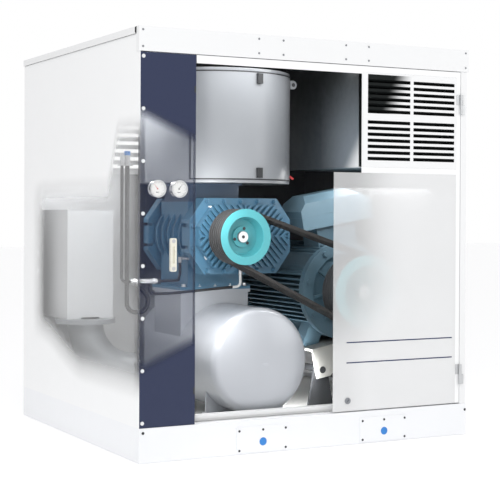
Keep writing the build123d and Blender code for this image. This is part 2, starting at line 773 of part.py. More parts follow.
# A square riser on the tank carries the blower's foot.
port_x = foot_x
port_y = (rotor_front + rotor_back) / 2
tank_outside = tank_body(0)
tank_inside = tank_body(tank_wall)
with BuildPart() as discharge_silencer:
    add(tank_outside)
    add(tank_inside, mode=Mode.SUBTRACT)
    with Locations((foot_x, port_y, (tank_z + foot_bottom) / 2)):
        riser = Box(foot_width - 2 * riser_wall, foot_length - 2 * riser_wall, foot_bottom - tank_z,
                    mode=Mode.PRIVATE)
    with Locations((foot_x, port_y, foot_bottom - foot_plate / 2)):
        riser_flange = Box(foot_width, foot_length, foot_plate, mode=Mode.PRIVATE)
    add((riser - tank_outside) + riser_flange)
    with Locations((port_x, port_y, tank_z + tank_radius)):
        Box(port_width, port_length, tank_radius, mode=Mode.SUBTRACT)
    with BuildSketch(Plane(origin=leg_end, z_dir=(-leg_way[0], -leg_way[1], 0))):
        Circle(pipe_radius - pipe_wall)
    extrude(amount=elbow_reach, mode=Mode.SUBTRACT)
discharge_silencer.part.label = "discharge_silencer"
export_step(discharge_silencer.part, "parts/discharge_silencer.step")

# Two saddles carry the tank, each on two rubber mounts.
saddle_y = [tank_front + saddle_from_end, tank_back - saddle_from_end]
saddle_low = floor_z + mount_height
with BuildPart() as tank_saddles:
    for y in saddle_y:
        with Locations((tank_x, y, saddle_low + saddle_height / 2)):
            Box(saddle_width, saddle_thickness, saddle_height)
        with Locations((tank_x, y, saddle_low + saddle_thickness / 2)):
            Box(saddle_width, saddle_foot, saddle_thickness)
        with BuildSketch(across(y - saddle_foot)):
            with Locations((tank_x, tank_z)):
                Circle(tank_radius + seat)
        extrude(amount=-2 * saddle_foot, mode=Mode.SUBTRACT)
tank_saddles.part.label = "tank_saddles"
export_step(tank_saddles.part, "parts/tank_saddles.step")

with BuildPart() as rubber_mounts:
    for y in saddle_y:
        for side in (-1, 1):
            with BuildSketch(Plane.XY.offset(floor_z)):
                with Locations((tank_x + side * (saddle_width / 2 - mount_radius), y)):
                    Circle(mount_radius)
            extrude(amount=mount_height)
rubber_mounts.part.label = "rubber_mounts"
export_step(rubber_mounts.part, "parts/rubber_mounts.step")

# ================================================================ blower
# Casing: two bores side by side, ribbed all round, with a foot below and a port above.
rib_step = rotor_length / (ribs + 1)
with BuildPart() as blower_casing:
    with BuildSketch(across(rotor_front)):
        with Locations((blower_x, blower_z)):
            SlotCenterToCenter(2 * pitch_radius, 2 * casing_radius)
    extrude(amount=-rotor_length)
    for i in range(ribs):
        with BuildSketch(across(rotor_front + (i + 1) * rib_step - rib_thickness / 2)):
            with Locations((blower_x, blower_z)):
                SlotCenterToCenter(2 * pitch_radius, 2 * (casing_radius + rib_height))
        extrude(amount=-rib_thickness)
    with Locations((foot_x, port_y, (foot_bottom + blower_z) / 2)):
        Box(port_width + 2 * casing_wall, port_length + 2 * casing_wall, blower_z - foot_bottom)
    with Locations((foot_x, port_y, foot_bottom + foot_plate / 2)):
        Box(foot_width, foot_length, foot_plate)
    with Locations((foot_x, port_y, (blower_z + neck_bottom - seat) / 2)):
        Box(port_width + 2 * casing_wall, port_length + 2 * casing_wall, neck_bottom - seat - blower_z)
    with Locations((foot_x, port_y, blower_z)):
        Box(port_width, port_length, 4 * casing_radius, mode=Mode.SUBTRACT)
    with BuildSketch(across(rotor_front)):
        with Locations((drive_x, blower_z), (driven_x, blower_z)):
            Circle(bore_radius)
    extrude(amount=-rotor_length, mode=Mode.SUBTRACT)
blower_casing.part.label = "blower_casing"
export_step(blower_casing.part, "parts/blower_casing.step")

# End plates close the casing and hold the bearings.
bearing_seat = bearing_radius + seat
with BuildPart() as end_plates:
    for y, bearing_y in ((cover_back, cover_back), (rotor_back, rotor_back + plate_depth - bearing_width)):
        with BuildSketch(across(y)):
            Polygon(*octagon(cover_width, cover_height, cover_corner_x, cover_corner_z), align=None)
            for side in (-1, 1):
                for lift in (-1, 1):
                    with Locations((blower_x + side * (cover_width / 2 - plate_rim / 2),
                                    blower_z + lift * bearing_radius)):
                        Rectangle(2 * plate_rim, plate_rim, mode=Mode.SUBTRACT)
            with Locations((drive_x, blower_z), (driven_x, blower_z)):
                Circle(shaft_radius + plate_rim / 2, mode=Mode.SUBTRACT)
        extrude(amount=-plate_depth)
        with BuildSketch(across(bearing_y)):
            with Locations((drive_x, blower_z), (driven_x, blower_z)):
                Circle(bearing_seat)
        extrude(amount=-bearing_width, mode=Mode.SUBTRACT)
end_plates.part.label = "end_plates"
export_step(end_plates.part, "parts/end_plates.step")

with BuildPart() as rotor_bearings:
    for y in (cover_back, rotor_back + plate_depth - bearing_width):
        with BuildSketch(across(y)):
            with Locations((drive_x, blower_z), (driven_x, blower_z)):
                Circle(bearing_radius)
                Circle(shaft_radius + running, mode=Mode.SUBTRACT)
        extrude(amount=-bearing_width)
rotor_bearings.part.label = "rotor_bearings"
export_step(rotor_bearings.part, "parts/rotor_bearings.step")

# Finned oil cover: four fields of slanting fins that point away from its middle.
fin_count = ceil(cover_width / fin_pitch)
fin_lean = radians(fin_angle)
cover_rim_depth = 24.0
boss_radius = 11.0
with BuildPart() as finned_cover:
    with BuildSketch(across(cover_back)):
        Polygon(*octagon(cover_width, cover_height, cover_corner_x, cover_corner_z), align=None)
    extrude(amount=cover_rim_depth)
    with BuildSketch(across(cover_back)):
        Polygon(*octagon(cover_width - 2 * cover_rim, cover_height - 2 * cover_rim, cover_corner_x,
                         cover_corner_z), align=None)
    extrude(amount=cover_depth)
    for side in (-1, 1):
        for lift in (-1, 1):
            with BuildSketch(across(blower_front)):
                for k in range(-fin_count, fin_count + 1):
                    off = (k + 0.5) * fin_pitch
                    with Locations((blower_x - side * off * sin(fin_lean),
                                    blower_z + lift * off * cos(fin_lean))):
                        Rectangle(2 * cover_width, fin_gap, rotation=side * lift * fin_angle)
                with Locations((blower_x + side * (cover_width / 4 + fin_gap / 4),
                                blower_z + lift * (cover_height / 4 + fin_gap / 4))):
                    Rectangle(cover_width / 2, cover_height / 2, mode=Mode.INTERSECT)
            extrude(amount=-fin_depth, mode=Mode.SUBTRACT)
    with BuildSketch(across(cover_back - cover_rim_depth)):
        for i in range(5):
            for lift in (-1, 1):
                with Locations((blower_x + (i - 2) * cover_width / 6,
                                blower_z + lift * (cover_height - cover_rim) / 2)):
                    Circle(boss_radius)
        for side in (-1, 1):
            for lift in (-1, 1):
                with Locations((blower_x + side * (cover_width - cover_rim) / 2,
                                blower_z + lift * bearing_radius)):
                    Circle(boss_radius)
    extrude(amount=boss_radius)
    with BuildSketch(across(blower_front)):
        with Locations((drive_x, blower_z)):
            Circle(bearing_radius + plate_rim)
    extrude(amount=-fin_depth)
    with BuildSketch(across(blower_front)):
        with Locations((drive_x, blower_z)):
            Circle(shaft_radius + 1.0)
    extrude(amount=-cover_depth, mode=Mode.SUBTRACT)
finned_cover.part.label = "finned_cover"
export_step(finned_cover.part, "parts/finned_cover.step")

# Timing gear cover at the back.
gear_tip = pitch_radius + pitch_radius * 2 / gear_teeth
gear_room = gear_tip + gear_bore_gap / 2
with BuildPart() as rear_cover:
    with BuildSketch(across(rear_plate_back)):
        with Locations((blower_x, blower_z)):
            SlotCenterToCenter(2 * pitch_radius, 2 * (gear_room + 2 * rear_cover_wall))
    extrude(amount=-2 * rear_cover_wall)
    with BuildSketch(across(rear_plate_back)):
        with Locations((blower_x, blower_z)):
            SlotCenterToCenter(2 * pitch_radius, 2 * (gear_room + rear_cover_wall))
    extrude(amount=-rear_cover_depth)
    fillet(rear_cover.faces().sort_by(Axis.Y)[-1].edges(), 2.5 * rear_cover_wall)
    with BuildSketch(across(rear_plate_back)):
        with Locations((blower_x, blower_z)):
            SlotCenterToCenter(2 * pitch_radius, 2 * gear_room)
    extrude(amount=-(rear_cover_depth - 3 * rear_cover_wall), mode=Mode.SUBTRACT)
rear_cover.part.label = "rear_cover"
export_step(rear_cover.part, "parts/rear_cover.step")


def rotor_outline():
    """Three-lobe cycloid outline about (0, 0), with lobe_gap taken off square to its surface."""
    rolling = pitch_radius / (2 * lobes)
    steps = 8
    points = []
    for branch in range(2 * lobes):
        lobe = branch % 2 == 0
        start = (branch - 0.5) * pi / lobes
        for i in range(steps):
            turn = max(i, 1e-3) / steps * pi / lobes
            way = 1 if lobe else -1
            reach = pitch_radius + way * rolling
            contact = (pitch_radius * cos(turn), pitch_radius * sin(turn))
            spin = turn * (reach / rolling) * way
            x = reach * cos(turn) - way * rolling * cos(spin)
            y = reach * sin(turn) - way * rolling * sin(spin) * way * way
            dx, dy = contact[0] - x, contact[1] - y
            shift = way * lobe_gap / hypot(dx, dy)
            x, y = x + shift * dx, y + shift * dy
            points.append((x * cos(start) - y * sin(start), x * sin(start) + y * cos(start)))
    return points


def rotor_face():
    """Face of the rotor, each pair of steps of its outline one arc."""
    points = rotor_outline()
    points.append(points[0])
    with BuildSketch() as profile:
        with BuildLine():
            for i in range(0, len(points) - 1, 2):
                ThreePointArc(points[i], points[i + 1], points[i + 2])
        make_face()
    return profile.sketch


def gear_outline(phase):
    """Corners of an involute gear, as one list of three points for each flank."""
    base = pitch_radius * cos(radians(gear_pressure_angle))
    module = 2 * pitch_radius / gear_teeth

    def involute(angle):
        return tan(angle) - angle

    def half_angle(radius):
        thick = pi / (2 * gear_teeth) - gear_backlash / (4 * pitch_radius)
        return thick + involute(radians(gear_pressure_angle)) - involute(acos(min(1.0, base / radius)))

    radii = [pitch_radius - 1.2 * module, pitch_radius, gear_tip]
    flanks = []
    for tooth in range(gear_teeth):
        middle = 2 * pi * tooth / gear_teeth + phase
        for way in (-1, 1):
            flank = [(r * cos(middle + way * half_angle(r)), r * sin(middle + way * half_angle(r)))
                     for r in radii]
            flanks.append(flank if way < 0 else flank[::-1])
    return flanks


def gear_face(phase):
    """Face of a timing gear."""
    flanks = gear_outline(phase)
    with BuildSketch() as profile:
        with BuildLine():
            for this, following in zip(flanks, flanks[1:] + flanks[:1]):
                ThreePointArc(*this)
                Line(this[-1], following[0])
        make_face()
    return profile.sketch


def blower_shaft_plane(x, y):
    """Plane across a rotor shaft at y, with its origin on the shaft."""
    return Plane(origin=(x, y, blower_z), x_dir=(1, 0, 0), z_dir=(0, -1, 0))


gear_front = rear_plate_back + gear_bore_gap
shaft_end = gear_front + gear_width + gear_bore_gap
rotor_profile = rotor_face()
for name, x, shaft_front in (("drive_rotor", drive_x, nose), ("driven_rotor", driven_x, cover_back + seat)):
    with BuildPart() as rotor:
        with BuildSketch(blower_shaft_plane(x, rotor_front + end_gap)):
            add(rotor_profile)
        extrude(amount=-(rotor_length - 2 * end_gap))
        with BuildSketch(blower_shaft_plane(x, shaft_front)):
            Circle(shaft_radius)
        extrude(amount=-(shaft_end - shaft_front))
    rotor.part.label = name
    export_step(rotor.part, f"parts/{name}.step")

gear_profiles = [gear_face(0), gear_face(pi / gear_teeth)]
for name, x, profile in (("drive_gear", drive_x, gear_profiles[0]),
                         ("driven_gear", driven_x, gear_profiles[1])):
    with BuildPart() as timing_gear:
        with BuildSketch(blower_shaft_plane(x, gear_front)):
            add(profile)
            Circle(shaft_radius, mode=Mode.SUBTRACT)
        extrude(amount=-gear_width)
    timing_gear.part.label = name
    export_step(timing_gear.part, f"parts/{name}.step")

# ================================================================ intake
# Neck: a flanged square duct from the blower's top port up to the drum.
neck_outer_x = port_width + 2 * casing_wall
neck_outer_y = port_length + 2 * casing_wall
with BuildPart() as intake_neck:
    with Locations((foot_x, port_y, (neck_bottom + drum_bottom - seat) / 2)):
        Box(port_width + 2 * riser_wall, port_length + 2 * riser_wall, drum_bottom - seat - neck_bottom)
    for z in (neck_bottom + riser_wall / 2, drum_bottom - seat - riser_wall / 2):
        with Locations((foot_x, port_y, z)):
            Box(neck_outer_x, neck_outer_y, riser_wall)
    with Locations((foot_x, port_y, (neck_bottom + drum_bottom) / 2)):
        Box(port_width, port_length, 2 * neck_height, mode=Mode.SUBTRACT)
intake_neck.part.label = "intake_neck"
export_step(intake_neck.part, "parts/intake_neck.step")


def wedge(angle, turn, reach):
    """Triangle from the drum's axis that spans an angle about a direction."""
    corners = [(0, 0)]
    for way in (-1, 0, 1):
        heading = radians(turn + way * angle / 2)
        corners.append((reach * cos(heading), reach * sin(heading)))
    return Polygon(*corners, align=None, mode=Mode.INTERSECT)


opening_margin = 9.0        # degrees of shell under each side of the access cover
opening_edge = 40.0
with BuildPart() as intake_drum:
    with BuildSketch(Plane.XY.offset(drum_bottom)):
        with Locations((drum_x, drum_y)):
            Circle(drum_radius)
    extrude(amount=drum_height)
    for z in (drum_bottom, drum_bottom + drum_height - drum_rim):
        with BuildSketch(Plane.XY.offset(z)):
            with Locations((drum_x, drum_y)):
                Circle(drum_radius + drum_rim / 2)
        extrude(amount=drum_rim)
    with BuildSketch(Plane.XY.offset(drum_bottom + drum_wall)):
        with Locations((drum_x, drum_y)):
            Circle(drum_radius - drum_wall)
    extrude(amount=drum_height - 2 * drum_wall, mode=Mode.SUBTRACT)
    with BuildSketch(Plane(origin=(drum_x, drum_y, drum_bottom + opening_edge))):
        Circle(2 * drum_radius)
        wedge(drum_cover_angle - 2 * opening_margin, drum_cover_turn, 2 * drum_radius)
    extrude(amount=drum_height - 2 * opening_edge, mode=Mode.SUBTRACT)
    with Locations((foot_x, port_y, drum_bottom)):
        Box(port_width, port_length, drum_rim, mode=Mode.SUBTRACT)
intake_drum.part.label = "intake_drum"
export_step(intake_drum.part, "parts/intake_drum.step")

with BuildPart() as drum_cover:
    with BuildSketch(Plane(origin=(drum_x, drum_y, drum_bottom + drum_rim + seat))):
        Circle(drum_radius + drum_cover_thickness)
        wedge(drum_cover_angle, drum_cover_turn, 2 * drum_radius)
        Circle(drum_radius + seat, mode=Mode.SUBTRACT)
    extrude(amount=drum_height - 2 * drum_rim - 2 * seat)
drum_cover.part.label = "drum_cover"
export_step(drum_cover.part, "parts/drum_cover.step")

with BuildPart() as filter_element:
    with BuildSketch(Plane.XY.offset(drum_bottom + drum_wall + seat)):
        with Locations((drum_x, drum_y)):
            Circle(filter_radius)
            Circle(filter_inner, mode=Mode.SUBTRACT)
    extrude(amount=filter_height)
filter_element.part.label = "filter_element"
export_step(filter_element.part, "parts/filter_element.step")

# Toggle clamps hold the cover at the top and bottom, two on its middle line.
clamp_places = [drum_bottom + clamp_height, drum_bottom + drum_height - clamp_height]
with BuildPart() as drum_clamps:
    for z in clamp_places:
        with Locations(Location((drum_x, drum_y, z), (0, 0, drum_cover_turn))):
            with Locations((drum_radius + drum_cover_thickness + seat + clamp_width / 4, 0, 0)):
                Box(clamp_width / 2, clamp_width, clamp_height)
drum_clamps.part.label = "drum_clamps"
export_step(drum_clamps.part, "parts/drum_clamps.step")

# ================================================================ motor
frame_front = motor_flange + flange_thickness
frame_back = frame_front + frame_length
fins_side = 2 * int(0.66 * frame_radius / motor_fin_pitch) + 1
foot_low = -shaft_height
foot_rows = [motor_flange + foot_from_flange, motor_flange + foot_from_flange + foot_pitch]
with BuildPart() as motor_frame:
    with BuildSketch(on_motor(frame_front)):
        Circle(frame_radius)
        with GridLocations(0, motor_fin_pitch, 1, fins_side):
            Rectangle(2 * fin_radius, motor_fin)
        with GridLocations(motor_fin_pitch, 0, fins_side, 1):
            Rectangle(motor_fin, 2 * fin_radius)
        Circle(fin_radius, mode=Mode.INTERSECT)
    extrude(amount=-frame_length)
    for y in foot_rows:
        with BuildSketch(on_motor(y - foot_size / 2)):
            for side in (-1, 1):
                Polygon((side * 0.4 * foot_spread, -frame_radius / 2),
                        (side * (foot_spread + foot_size) / 2, foot_low + foot_thickness),
                        (side * (foot_spread + foot_size) / 2, foot_low),
                        (side * (foot_spread - foot_size) / 2, foot_low),
                        (side * 0.3 * foot_spread, -frame_radius), align=None)
        extrude(amount=-foot_size)
    with BuildSketch(on_motor(box_front + box_depth / 6)):
        with Locations((box_left + box_length / 2, (frame_radius / 2 + box_bottom) / 2)):
            Rectangle(0.55 * box_length, box_bottom - frame_radius / 2)
    extrude(amount=-2 * box_depth / 3)
    with BuildSketch(on_motor(frame_front)):
        Circle(frame_bore)
    extrude(amount=-(frame_length - foot_thickness), mode=Mode.SUBTRACT)
    with BuildSketch(on_motor(frame_back)):
        Circle(motor_shaft_radius + running)
    extrude(amount=foot_thickness, mode=Mode.SUBTRACT)
motor_frame.part.label = "motor_frame"
export_step(motor_frame.part, "parts/motor_frame.step")

# Drive-end shield: a wide ring, open inside, with ribs running in to the bearing hub.
shield_web = 12.0
hub_outer = 64.0
shield_ribs = 8
with BuildPart() as motor_flange_shield:
    with BuildSketch(on_motor(motor_flange)):
        Circle(flange_radius)
        Circle(flange_open, mode=Mode.SUBTRACT)
    extrude(amount=-(flange_thickness - seat))
    with BuildSketch(on_motor(frame_front - seat - shield_web)):
        Circle(flange_open)
    extrude(amount=-shield_web)
    with BuildSketch(on_motor(motor_flange + shield_web / 2)):
        Circle(hub_outer)
        with PolarLocations((flange_open + hub_outer) / 2, shield_ribs):
            Rectangle(flange_open - hub_outer + shield_web, shield_web)
        Circle(flange_open + shield_web / 2, mode=Mode.INTERSECT)
    extrude(amount=-(flange_thickness - shield_web - seat))
    with BuildSketch(on_motor(motor_flange)):
        Circle(motor_shaft_radius + running)
    extrude(amount=-flange_thickness, mode=Mode.SUBTRACT)
motor_flange_shield.part.label = "motor_flange_shield"
export_step(motor_flange_shield.part, "parts/motor_flange_shield.step")

core_front = frame_front + (frame_length - core_length) / 2
with BuildPart() as stator_core:
    with BuildSketch(on_motor(core_front)):
        Circle(frame_bore - seat)
        Circle(stator_inner, mode=Mode.SUBTRACT)
    extrude(amount=-core_length)
stator_core.part.label = "stator_core"
export_step(stator_core.part, "parts/stator_core.step")

fan_front = frame_back + (cowl_length - fan_width) / 2
with BuildPart() as motor_rotor:
    with BuildSketch(on_motor(core_front)):
        Circle(stator_inner - rotor_air_gap)
    extrude(amount=-core_length)
    with BuildSketch(on_motor(nose)):
        Circle(motor_shaft_radius)
    extrude(amount=-(fan_front + fan_width - nose))
motor_rotor.part.label = "motor_rotor"
export_step(motor_rotor.part, "parts/motor_rotor.step")

with BuildPart() as motor_fan:
    with BuildSketch(on_motor(fan_front)):
        Circle(motor_shaft_radius + shield_web)
        with PolarLocations((fan_radius + motor_shaft_radius) / 2, fan_blades):
            Rectangle(fan_radius - motor_shaft_radius, motor_fin)
        Circle(fan_radius, mode=Mode.INTERSECT)
        Circle(motor_shaft_radius, mode=Mode.SUBTRACT)
    extrude(amount=-fan_width)
    with BuildSketch(on_motor(fan_front)):
        Circle(fan_radius)
        Circle(motor_shaft_radius, mode=Mode.SUBTRACT)
    extrude(amount=-motor_fin)
motor_fan.part.label = "motor_fan"
export_step(motor_fan.part, "parts/motor_fan.step")

cowl_slots = 12
with BuildPart() as fan_cowl:
    with BuildSketch(on_motor(frame_back + seat)):
        Circle(fin_radius)
    extrude(amount=-cowl_length)
    with BuildSketch(on_motor(frame_back)):
        Circle(fin_radius - cowl_wall)
    extrude(amount=-(cowl_length - cowl_wall), mode=Mode.SUBTRACT)
    with BuildSketch(on_motor(frame_back + cowl_length + seat)):
        with PolarLocations((fin_radius + hub_outer) / 2, cowl_slots):
            Rectangle(fin_radius - hub_outer - 2 * shield_web, shield_web)
    extrude(amount=2 * cowl_wall, mode=Mode.SUBTRACT)
fan_cowl.part.label = "fan_cowl"
export_step(fan_cowl.part, "parts/fan_cowl.step")

# Terminal box on the motor, with a hipped lid.
with BuildPart() as terminal_box:
    with BuildSketch(on_motor(box_front)):
        with Locations((box_left + box_length / 2, box_bottom + seat + box_height / 2)):
            Rectangle(box_length, box_height)
    extrude(amount=-box_depth)
    with BuildSketch(on_motor(box_front + box_wall)):
        with Locations((box_left + box_length / 2, box_bottom + seat + box_height / 2 + box_wall)):
            Rectangle(box_length - 2 * box_wall, box_height)
    extrude(amount=-(box_depth - 2 * box_wall), mode=Mode.SUBTRACT)
terminal_box.part.label = "terminal_box"
export_step(terminal_box.part, "parts/terminal_box.step")

lid_low = box_bottom + box_height + 2 * seat
lid_edge = 30.0
lid_slope = 52.0
with BuildPart() as terminal_lid:
    with BuildSketch(on_motor(box_front)):
        Polygon((box_left, lid_low), (box_left + box_length, lid_low),
                (box_left + box_length, lid_low + lid_edge),
                (box_left + box_length - 2 * lid_slope, lid_low + lid_height),
                (box_left + lid_slope, lid_low + lid_height), (box_left, lid_low + lid_edge), align=None)
    extrude(amount=-box_depth)
    chamfer(terminal_lid.faces().filter_by(GeomType.PLANE).sort_by(Axis.Z)[-1].edges()
            .filter_by(Axis.Y, reverse=True), lid_slope, 0.6 * lid_slope)
terminal_lid.part.label = "terminal_lid"
export_step(terminal_lid.part, "parts/terminal_lid.step")

# ---------------------------------------------------------------- belt drive
groove_places = [pulley_front + pulley_margin + i * groove_pitch for i in range(grooves)]


def groove_width(sunk):
    """Width of a groove at a depth below the pulley's rim."""
    return groove_top - (groove_top - groove_bottom) * sunk / groove_depth


for name, x, z, radius, rim, bore in (
        ("blower_pulley", drive_x, blower_z, blower_pulley_radius, pulley_rim, shaft_radius),
        ("motor_pulley", motor_x, motor_z, motor_pulley_radius, motor_pulley_rim, motor_shaft_radius)):
    profile = [(bore, pulley_front + dish_depth - bush_proud),
               (bush_radius, pulley_front + dish_depth - bush_proud),
               (bush_radius, pulley_front + dish_depth),
               (radius - rim - dish_depth / 4, pulley_front + dish_depth),
               (radius - rim, pulley_front), (radius, pulley_front)]
    for y in groove_places:
        profile += [(radius, y - groove_top / 2), (radius - groove_depth, y - groove_bottom / 2),
                    (radius - groove_depth, y + groove_bottom / 2), (radius, y + groove_top / 2)]
    profile += [(radius, pulley_back), (radius - rim, pulley_back),
                (radius - rim, pulley_back - dish_depth / 2),
                (hub_radius, pulley_back - dish_depth / 2), (hub_radius, pulley_back), (bore, pulley_back)]
    with BuildPart() as pulley:
        with BuildSketch(Plane(origin=(x, 0, z), x_dir=(1, 0, 0), z_dir=(0, 0, 1))):
            Polygon(*profile, align=None)
        revolve(axis=Axis((x, 0, z), (0, 1, 0)))
    pulley.part.label = name
    export_step(pulley.part, f"parts/{name}.step")

# Belts: a V section in each groove, turned round each pulley and drawn out along both runs.
belt_depth = groove_depth - 2 * belt_sink
shaft_distance = hypot(motor_x - drive_x, motor_z - blower_z)
belt_heading = degrees(atan2(motor_z - blower_z, motor_x - drive_x))
belt_lean = degrees(acos((blower_pulley_radius - motor_pulley_radius) / shaft_distance))
run_length = shaft_distance * sin(radians(belt_lean))


def belt_section(x, z, radius, turn, way):
    """Belt sections on the line out of a shaft at an angle, facing along the run."""
    out = (cos(radians(turn)), 0, sin(radians(turn)))
    along = (way * sin(radians(turn)), 0, -way * cos(radians(turn)))
    outer, inner = radius - belt_sink, radius - belt_sink - belt_depth
    half_outer = groove_width(belt_sink) / 2 - belt_gap
    half_inner = groove_width(belt_sink + belt_depth) / 2 - belt_gap
    with BuildSketch(Plane(origin=(x, 0, z), x_dir=out, z_dir=along)) as section:
        for y in groove_places:
            at = -way * y
            Polygon((outer, at - half_outer), (outer, at + half_outer), (inner, at + half_inner),
                    (inner, at - half_inner), align=None)
    return section.sketch


upper_section = belt_section(drive_x, blower_z, blower_pulley_radius, belt_heading + belt_lean, 1)
lower_section = belt_section(motor_x, motor_z, motor_pulley_radius, belt_heading - belt_lean, 1)
with BuildPart() as drive_belts:
    extrude(to_extrude=upper_section, amount=run_length)
    revolve(upper_section, axis=Axis((drive_x, 0, blower_z), (0, -1, 0)), revolution_arc=360 - 2 * belt_lean)
    extrude(to_extrude=lower_section, amount=run_length)
    revolve(lower_section, axis=Axis((motor_x, 0, motor_z), (0, -1, 0)), revolution_arc=2 * belt_lean)
drive_belts.part.label = "drive_belts"
export_step(drive_belts.part, "parts/drive_belts.step")

# ================================================================ swinging motor base
# Plate under the motor's feet with a deep flange at the front and back. It hangs on a
# pin at its left end, and a spring on the strut at its right end keeps the belts tight.
plate_top = -shaft_height - seat
plate_low = plate_top - base_plate
lean = radians(motor_tilt)
pivot_across = (pivot_x - motor_x) * cos(lean) + (pivot_z - motor_z) * sin(lean)
pivot_up = (pivot_z - motor_z) * cos(lean) - (pivot_x - motor_x) * sin(lean)
lug_half = 2.2 * pivot_radius
flange_outline = [(base_plate_left, plate_low), (base_plate_right, plate_low),
                  (base_plate_right, plate_low - lug_half),
                  (pivot_across + 4 * lug_half, plate_low - 1.5 * lug_half),
                  (pivot_across + lug_half, pivot_up - lug_half),
                  (pivot_across - lug_half, pivot_up - lug_half), (base_plate_left, plate_low - lug_half)]
with BuildPart() as swing_base:
    with BuildSketch(on_motor(base_front)):
        with Locations(((base_plate_left + base_plate_right) / 2, plate_top - base_plate / 2)):
            Rectangle(base_plate_right - base_plate_left, base_plate)
    extrude(amount=base_front - base_back)
    for y in (base_front, base_back - base_flange):
        with BuildSketch(on_motor(y)):
            Polygon(*flange_outline, align=None)
            with Locations((pivot_across, pivot_up)):
                Circle(pivot_radius + running, mode=Mode.SUBTRACT)
        extrude(amount=-base_flange)
    with BuildSketch(Plane.XY.offset(pivot_z)):
        with Locations((strut_x, strut_y)):
            SlotOverall(strut_slot, 3 * strut_radius)
    extrude(amount=shaft_height, mode=Mode.SUBTRACT)
swing_base.part.label = "swing_base"
export_step(swing_base.part, "parts/swing_base.step")

# Fixed support: two pedestals on the floor carry the pivot pin, and an arm on the front one
# runs down to the foot of the strut.
support_front = base_front + base_flange + support_gap
support_back = base_back - base_flange - support_gap - support_plate
arm_drop = 150.0
arm_height = 46.0
strut_foot_z = pivot_z - arm_drop + arm_height / 2
foot_reach = 60.0
with BuildPart() as motor_support:
    for y in (support_front, support_back):
        with BuildSketch(across(y)):
            Polygon((pivot_x - 2 * lug_half, floor_z), (pivot_x + 2 * lug_half, floor_z),
                    (pivot_x + lug_half, pivot_z), (pivot_x - lug_half, pivot_z), align=None)
            with Locations((pivot_x, pivot_z)):
                Circle(lug_half)
        extrude(amount=-support_plate)
        with Locations((pivot_x, y + support_plate / 2, floor_z + support_plate / 2)):
            Box(5 * lug_half, 5 * support_plate, support_plate)
    with BuildSketch(across(support_front)):
        Polygon((pivot_x, pivot_z + arm_height / 2), (strut_x, pivot_z - arm_drop + arm_height),
                (strut_x + foot_reach, floor_z + support_plate), (strut_x + foot_reach, floor_z),
                (strut_x - foot_reach / 2, floor_z), (strut_x - foot_reach / 2, pivot_z - arm_drop),
                (pivot_x, pivot_z - arm_height / 2), align=None)
    extrude(amount=-support_plate)
    with BuildSketch(across(base_front - seat)):
        with Locations((pivot_x, pivot_z)):
            Circle(pivot_radius)
    extrude(amount=-(base_back - base_front + 2 * seat))
motor_support.part.label = "motor_support"
export_step(motor_support.part, "parts/motor_support.step")

rod_bottom = pivot_z - arm_drop + arm_height
with BuildPart() as tension_rod:
    with BuildSketch(Plane.XY.offset(rod_bottom)):
        with Locations((strut_x, strut_y)):
            Circle(strut_radius)
    extrude(amount=strut_top - rod_bottom)
    eye_y = support_front + support_plate + seat
    with BuildSketch(across(eye_y)):
        with Locations((strut_x, rod_bottom)):
            Circle(2 * strut_radius)
    extrude(amount=-(strut_y + 1.4 * strut_radius - eye_y))
    with BuildSketch(Plane.XY.offset(spring_top)):
        with Locations((strut_x, strut_y)):
            Circle(spring_radius + 2 * spring_wire)
    extrude(amount=spring_wire)
    with BuildSketch(Plane.XY.offset(spring_top + spring_wire)):
        with Locations((strut_x, strut_y)):
            RegularPolygon(2 * strut_radius, 6)
    extrude(amount=1.6 * strut_radius)
tension_rod.part.label = "tension_rod"
export_step(tension_rod.part, "parts/tension_rod.step")

# The spring stands on the swinging plate, whose top slopes with the motor.
plate_at_strut = motor_z + plate_top / cos(lean) + (strut_x - motor_x) * tan(lean)
spring_low = plate_at_strut + (spring_radius + 2 * spring_wire) * tan(lean) + spring_wire + seat
spring_length = spring_top - spring_wire - seat - spring_low
with BuildPart() as tension_spring:
    with BuildLine(Plane(origin=(strut_x, strut_y, spring_low))) as coil:
        Helix(spring_length / spring_turns, spring_length, spring_radius)
    with BuildSketch(Plane(origin=coil.line @ 0, z_dir=coil.line % 0)):
        RegularPolygon(spring_wire, 8)
    sweep(is_frenet=True)
tension_spring.part.label = "tension_spring"
export_step(tension_spring.part, "parts/tension_spring.step")

# ================================================================ outlet
# Pipe from the tank's rear head, round an elbow and up to the outlet box.
with BuildPart() as discharge_pipe:
    with BuildLine() as run:
        FilletPolyline((outlet_x, outlet_y, outlet_bottom - seat), (outlet_x, outlet_y, leg_z), leg_end,
                       radius=bend_radius)
    with BuildSketch(Plane(origin=(outlet_x, outlet_y, outlet_bottom - seat), z_dir=(0, 0, -1))):
        Circle(pipe_radius)
    sweep(path=run.line)
    with BuildSketch(Plane.XY.offset(outlet_bottom - seat)):
        with Locations((outlet_x, outlet_y)):
            Circle(flange_outer)
    extrude(amount=-flange_depth)
    add(tank_outside, mode=Mode.SUBTRACT)
    with BuildSketch(Plane(origin=(outlet_x, outlet_y, outlet_bottom - seat), z_dir=(0, 0, -1))):
        Circle(pipe_radius - pipe_wall)
    sweep(path=run.line, mode=Mode.SUBTRACT)
discharge_pipe.part.label = "discharge_pipe"
export_step(discharge_pipe.part, "parts/discharge_pipe.step")

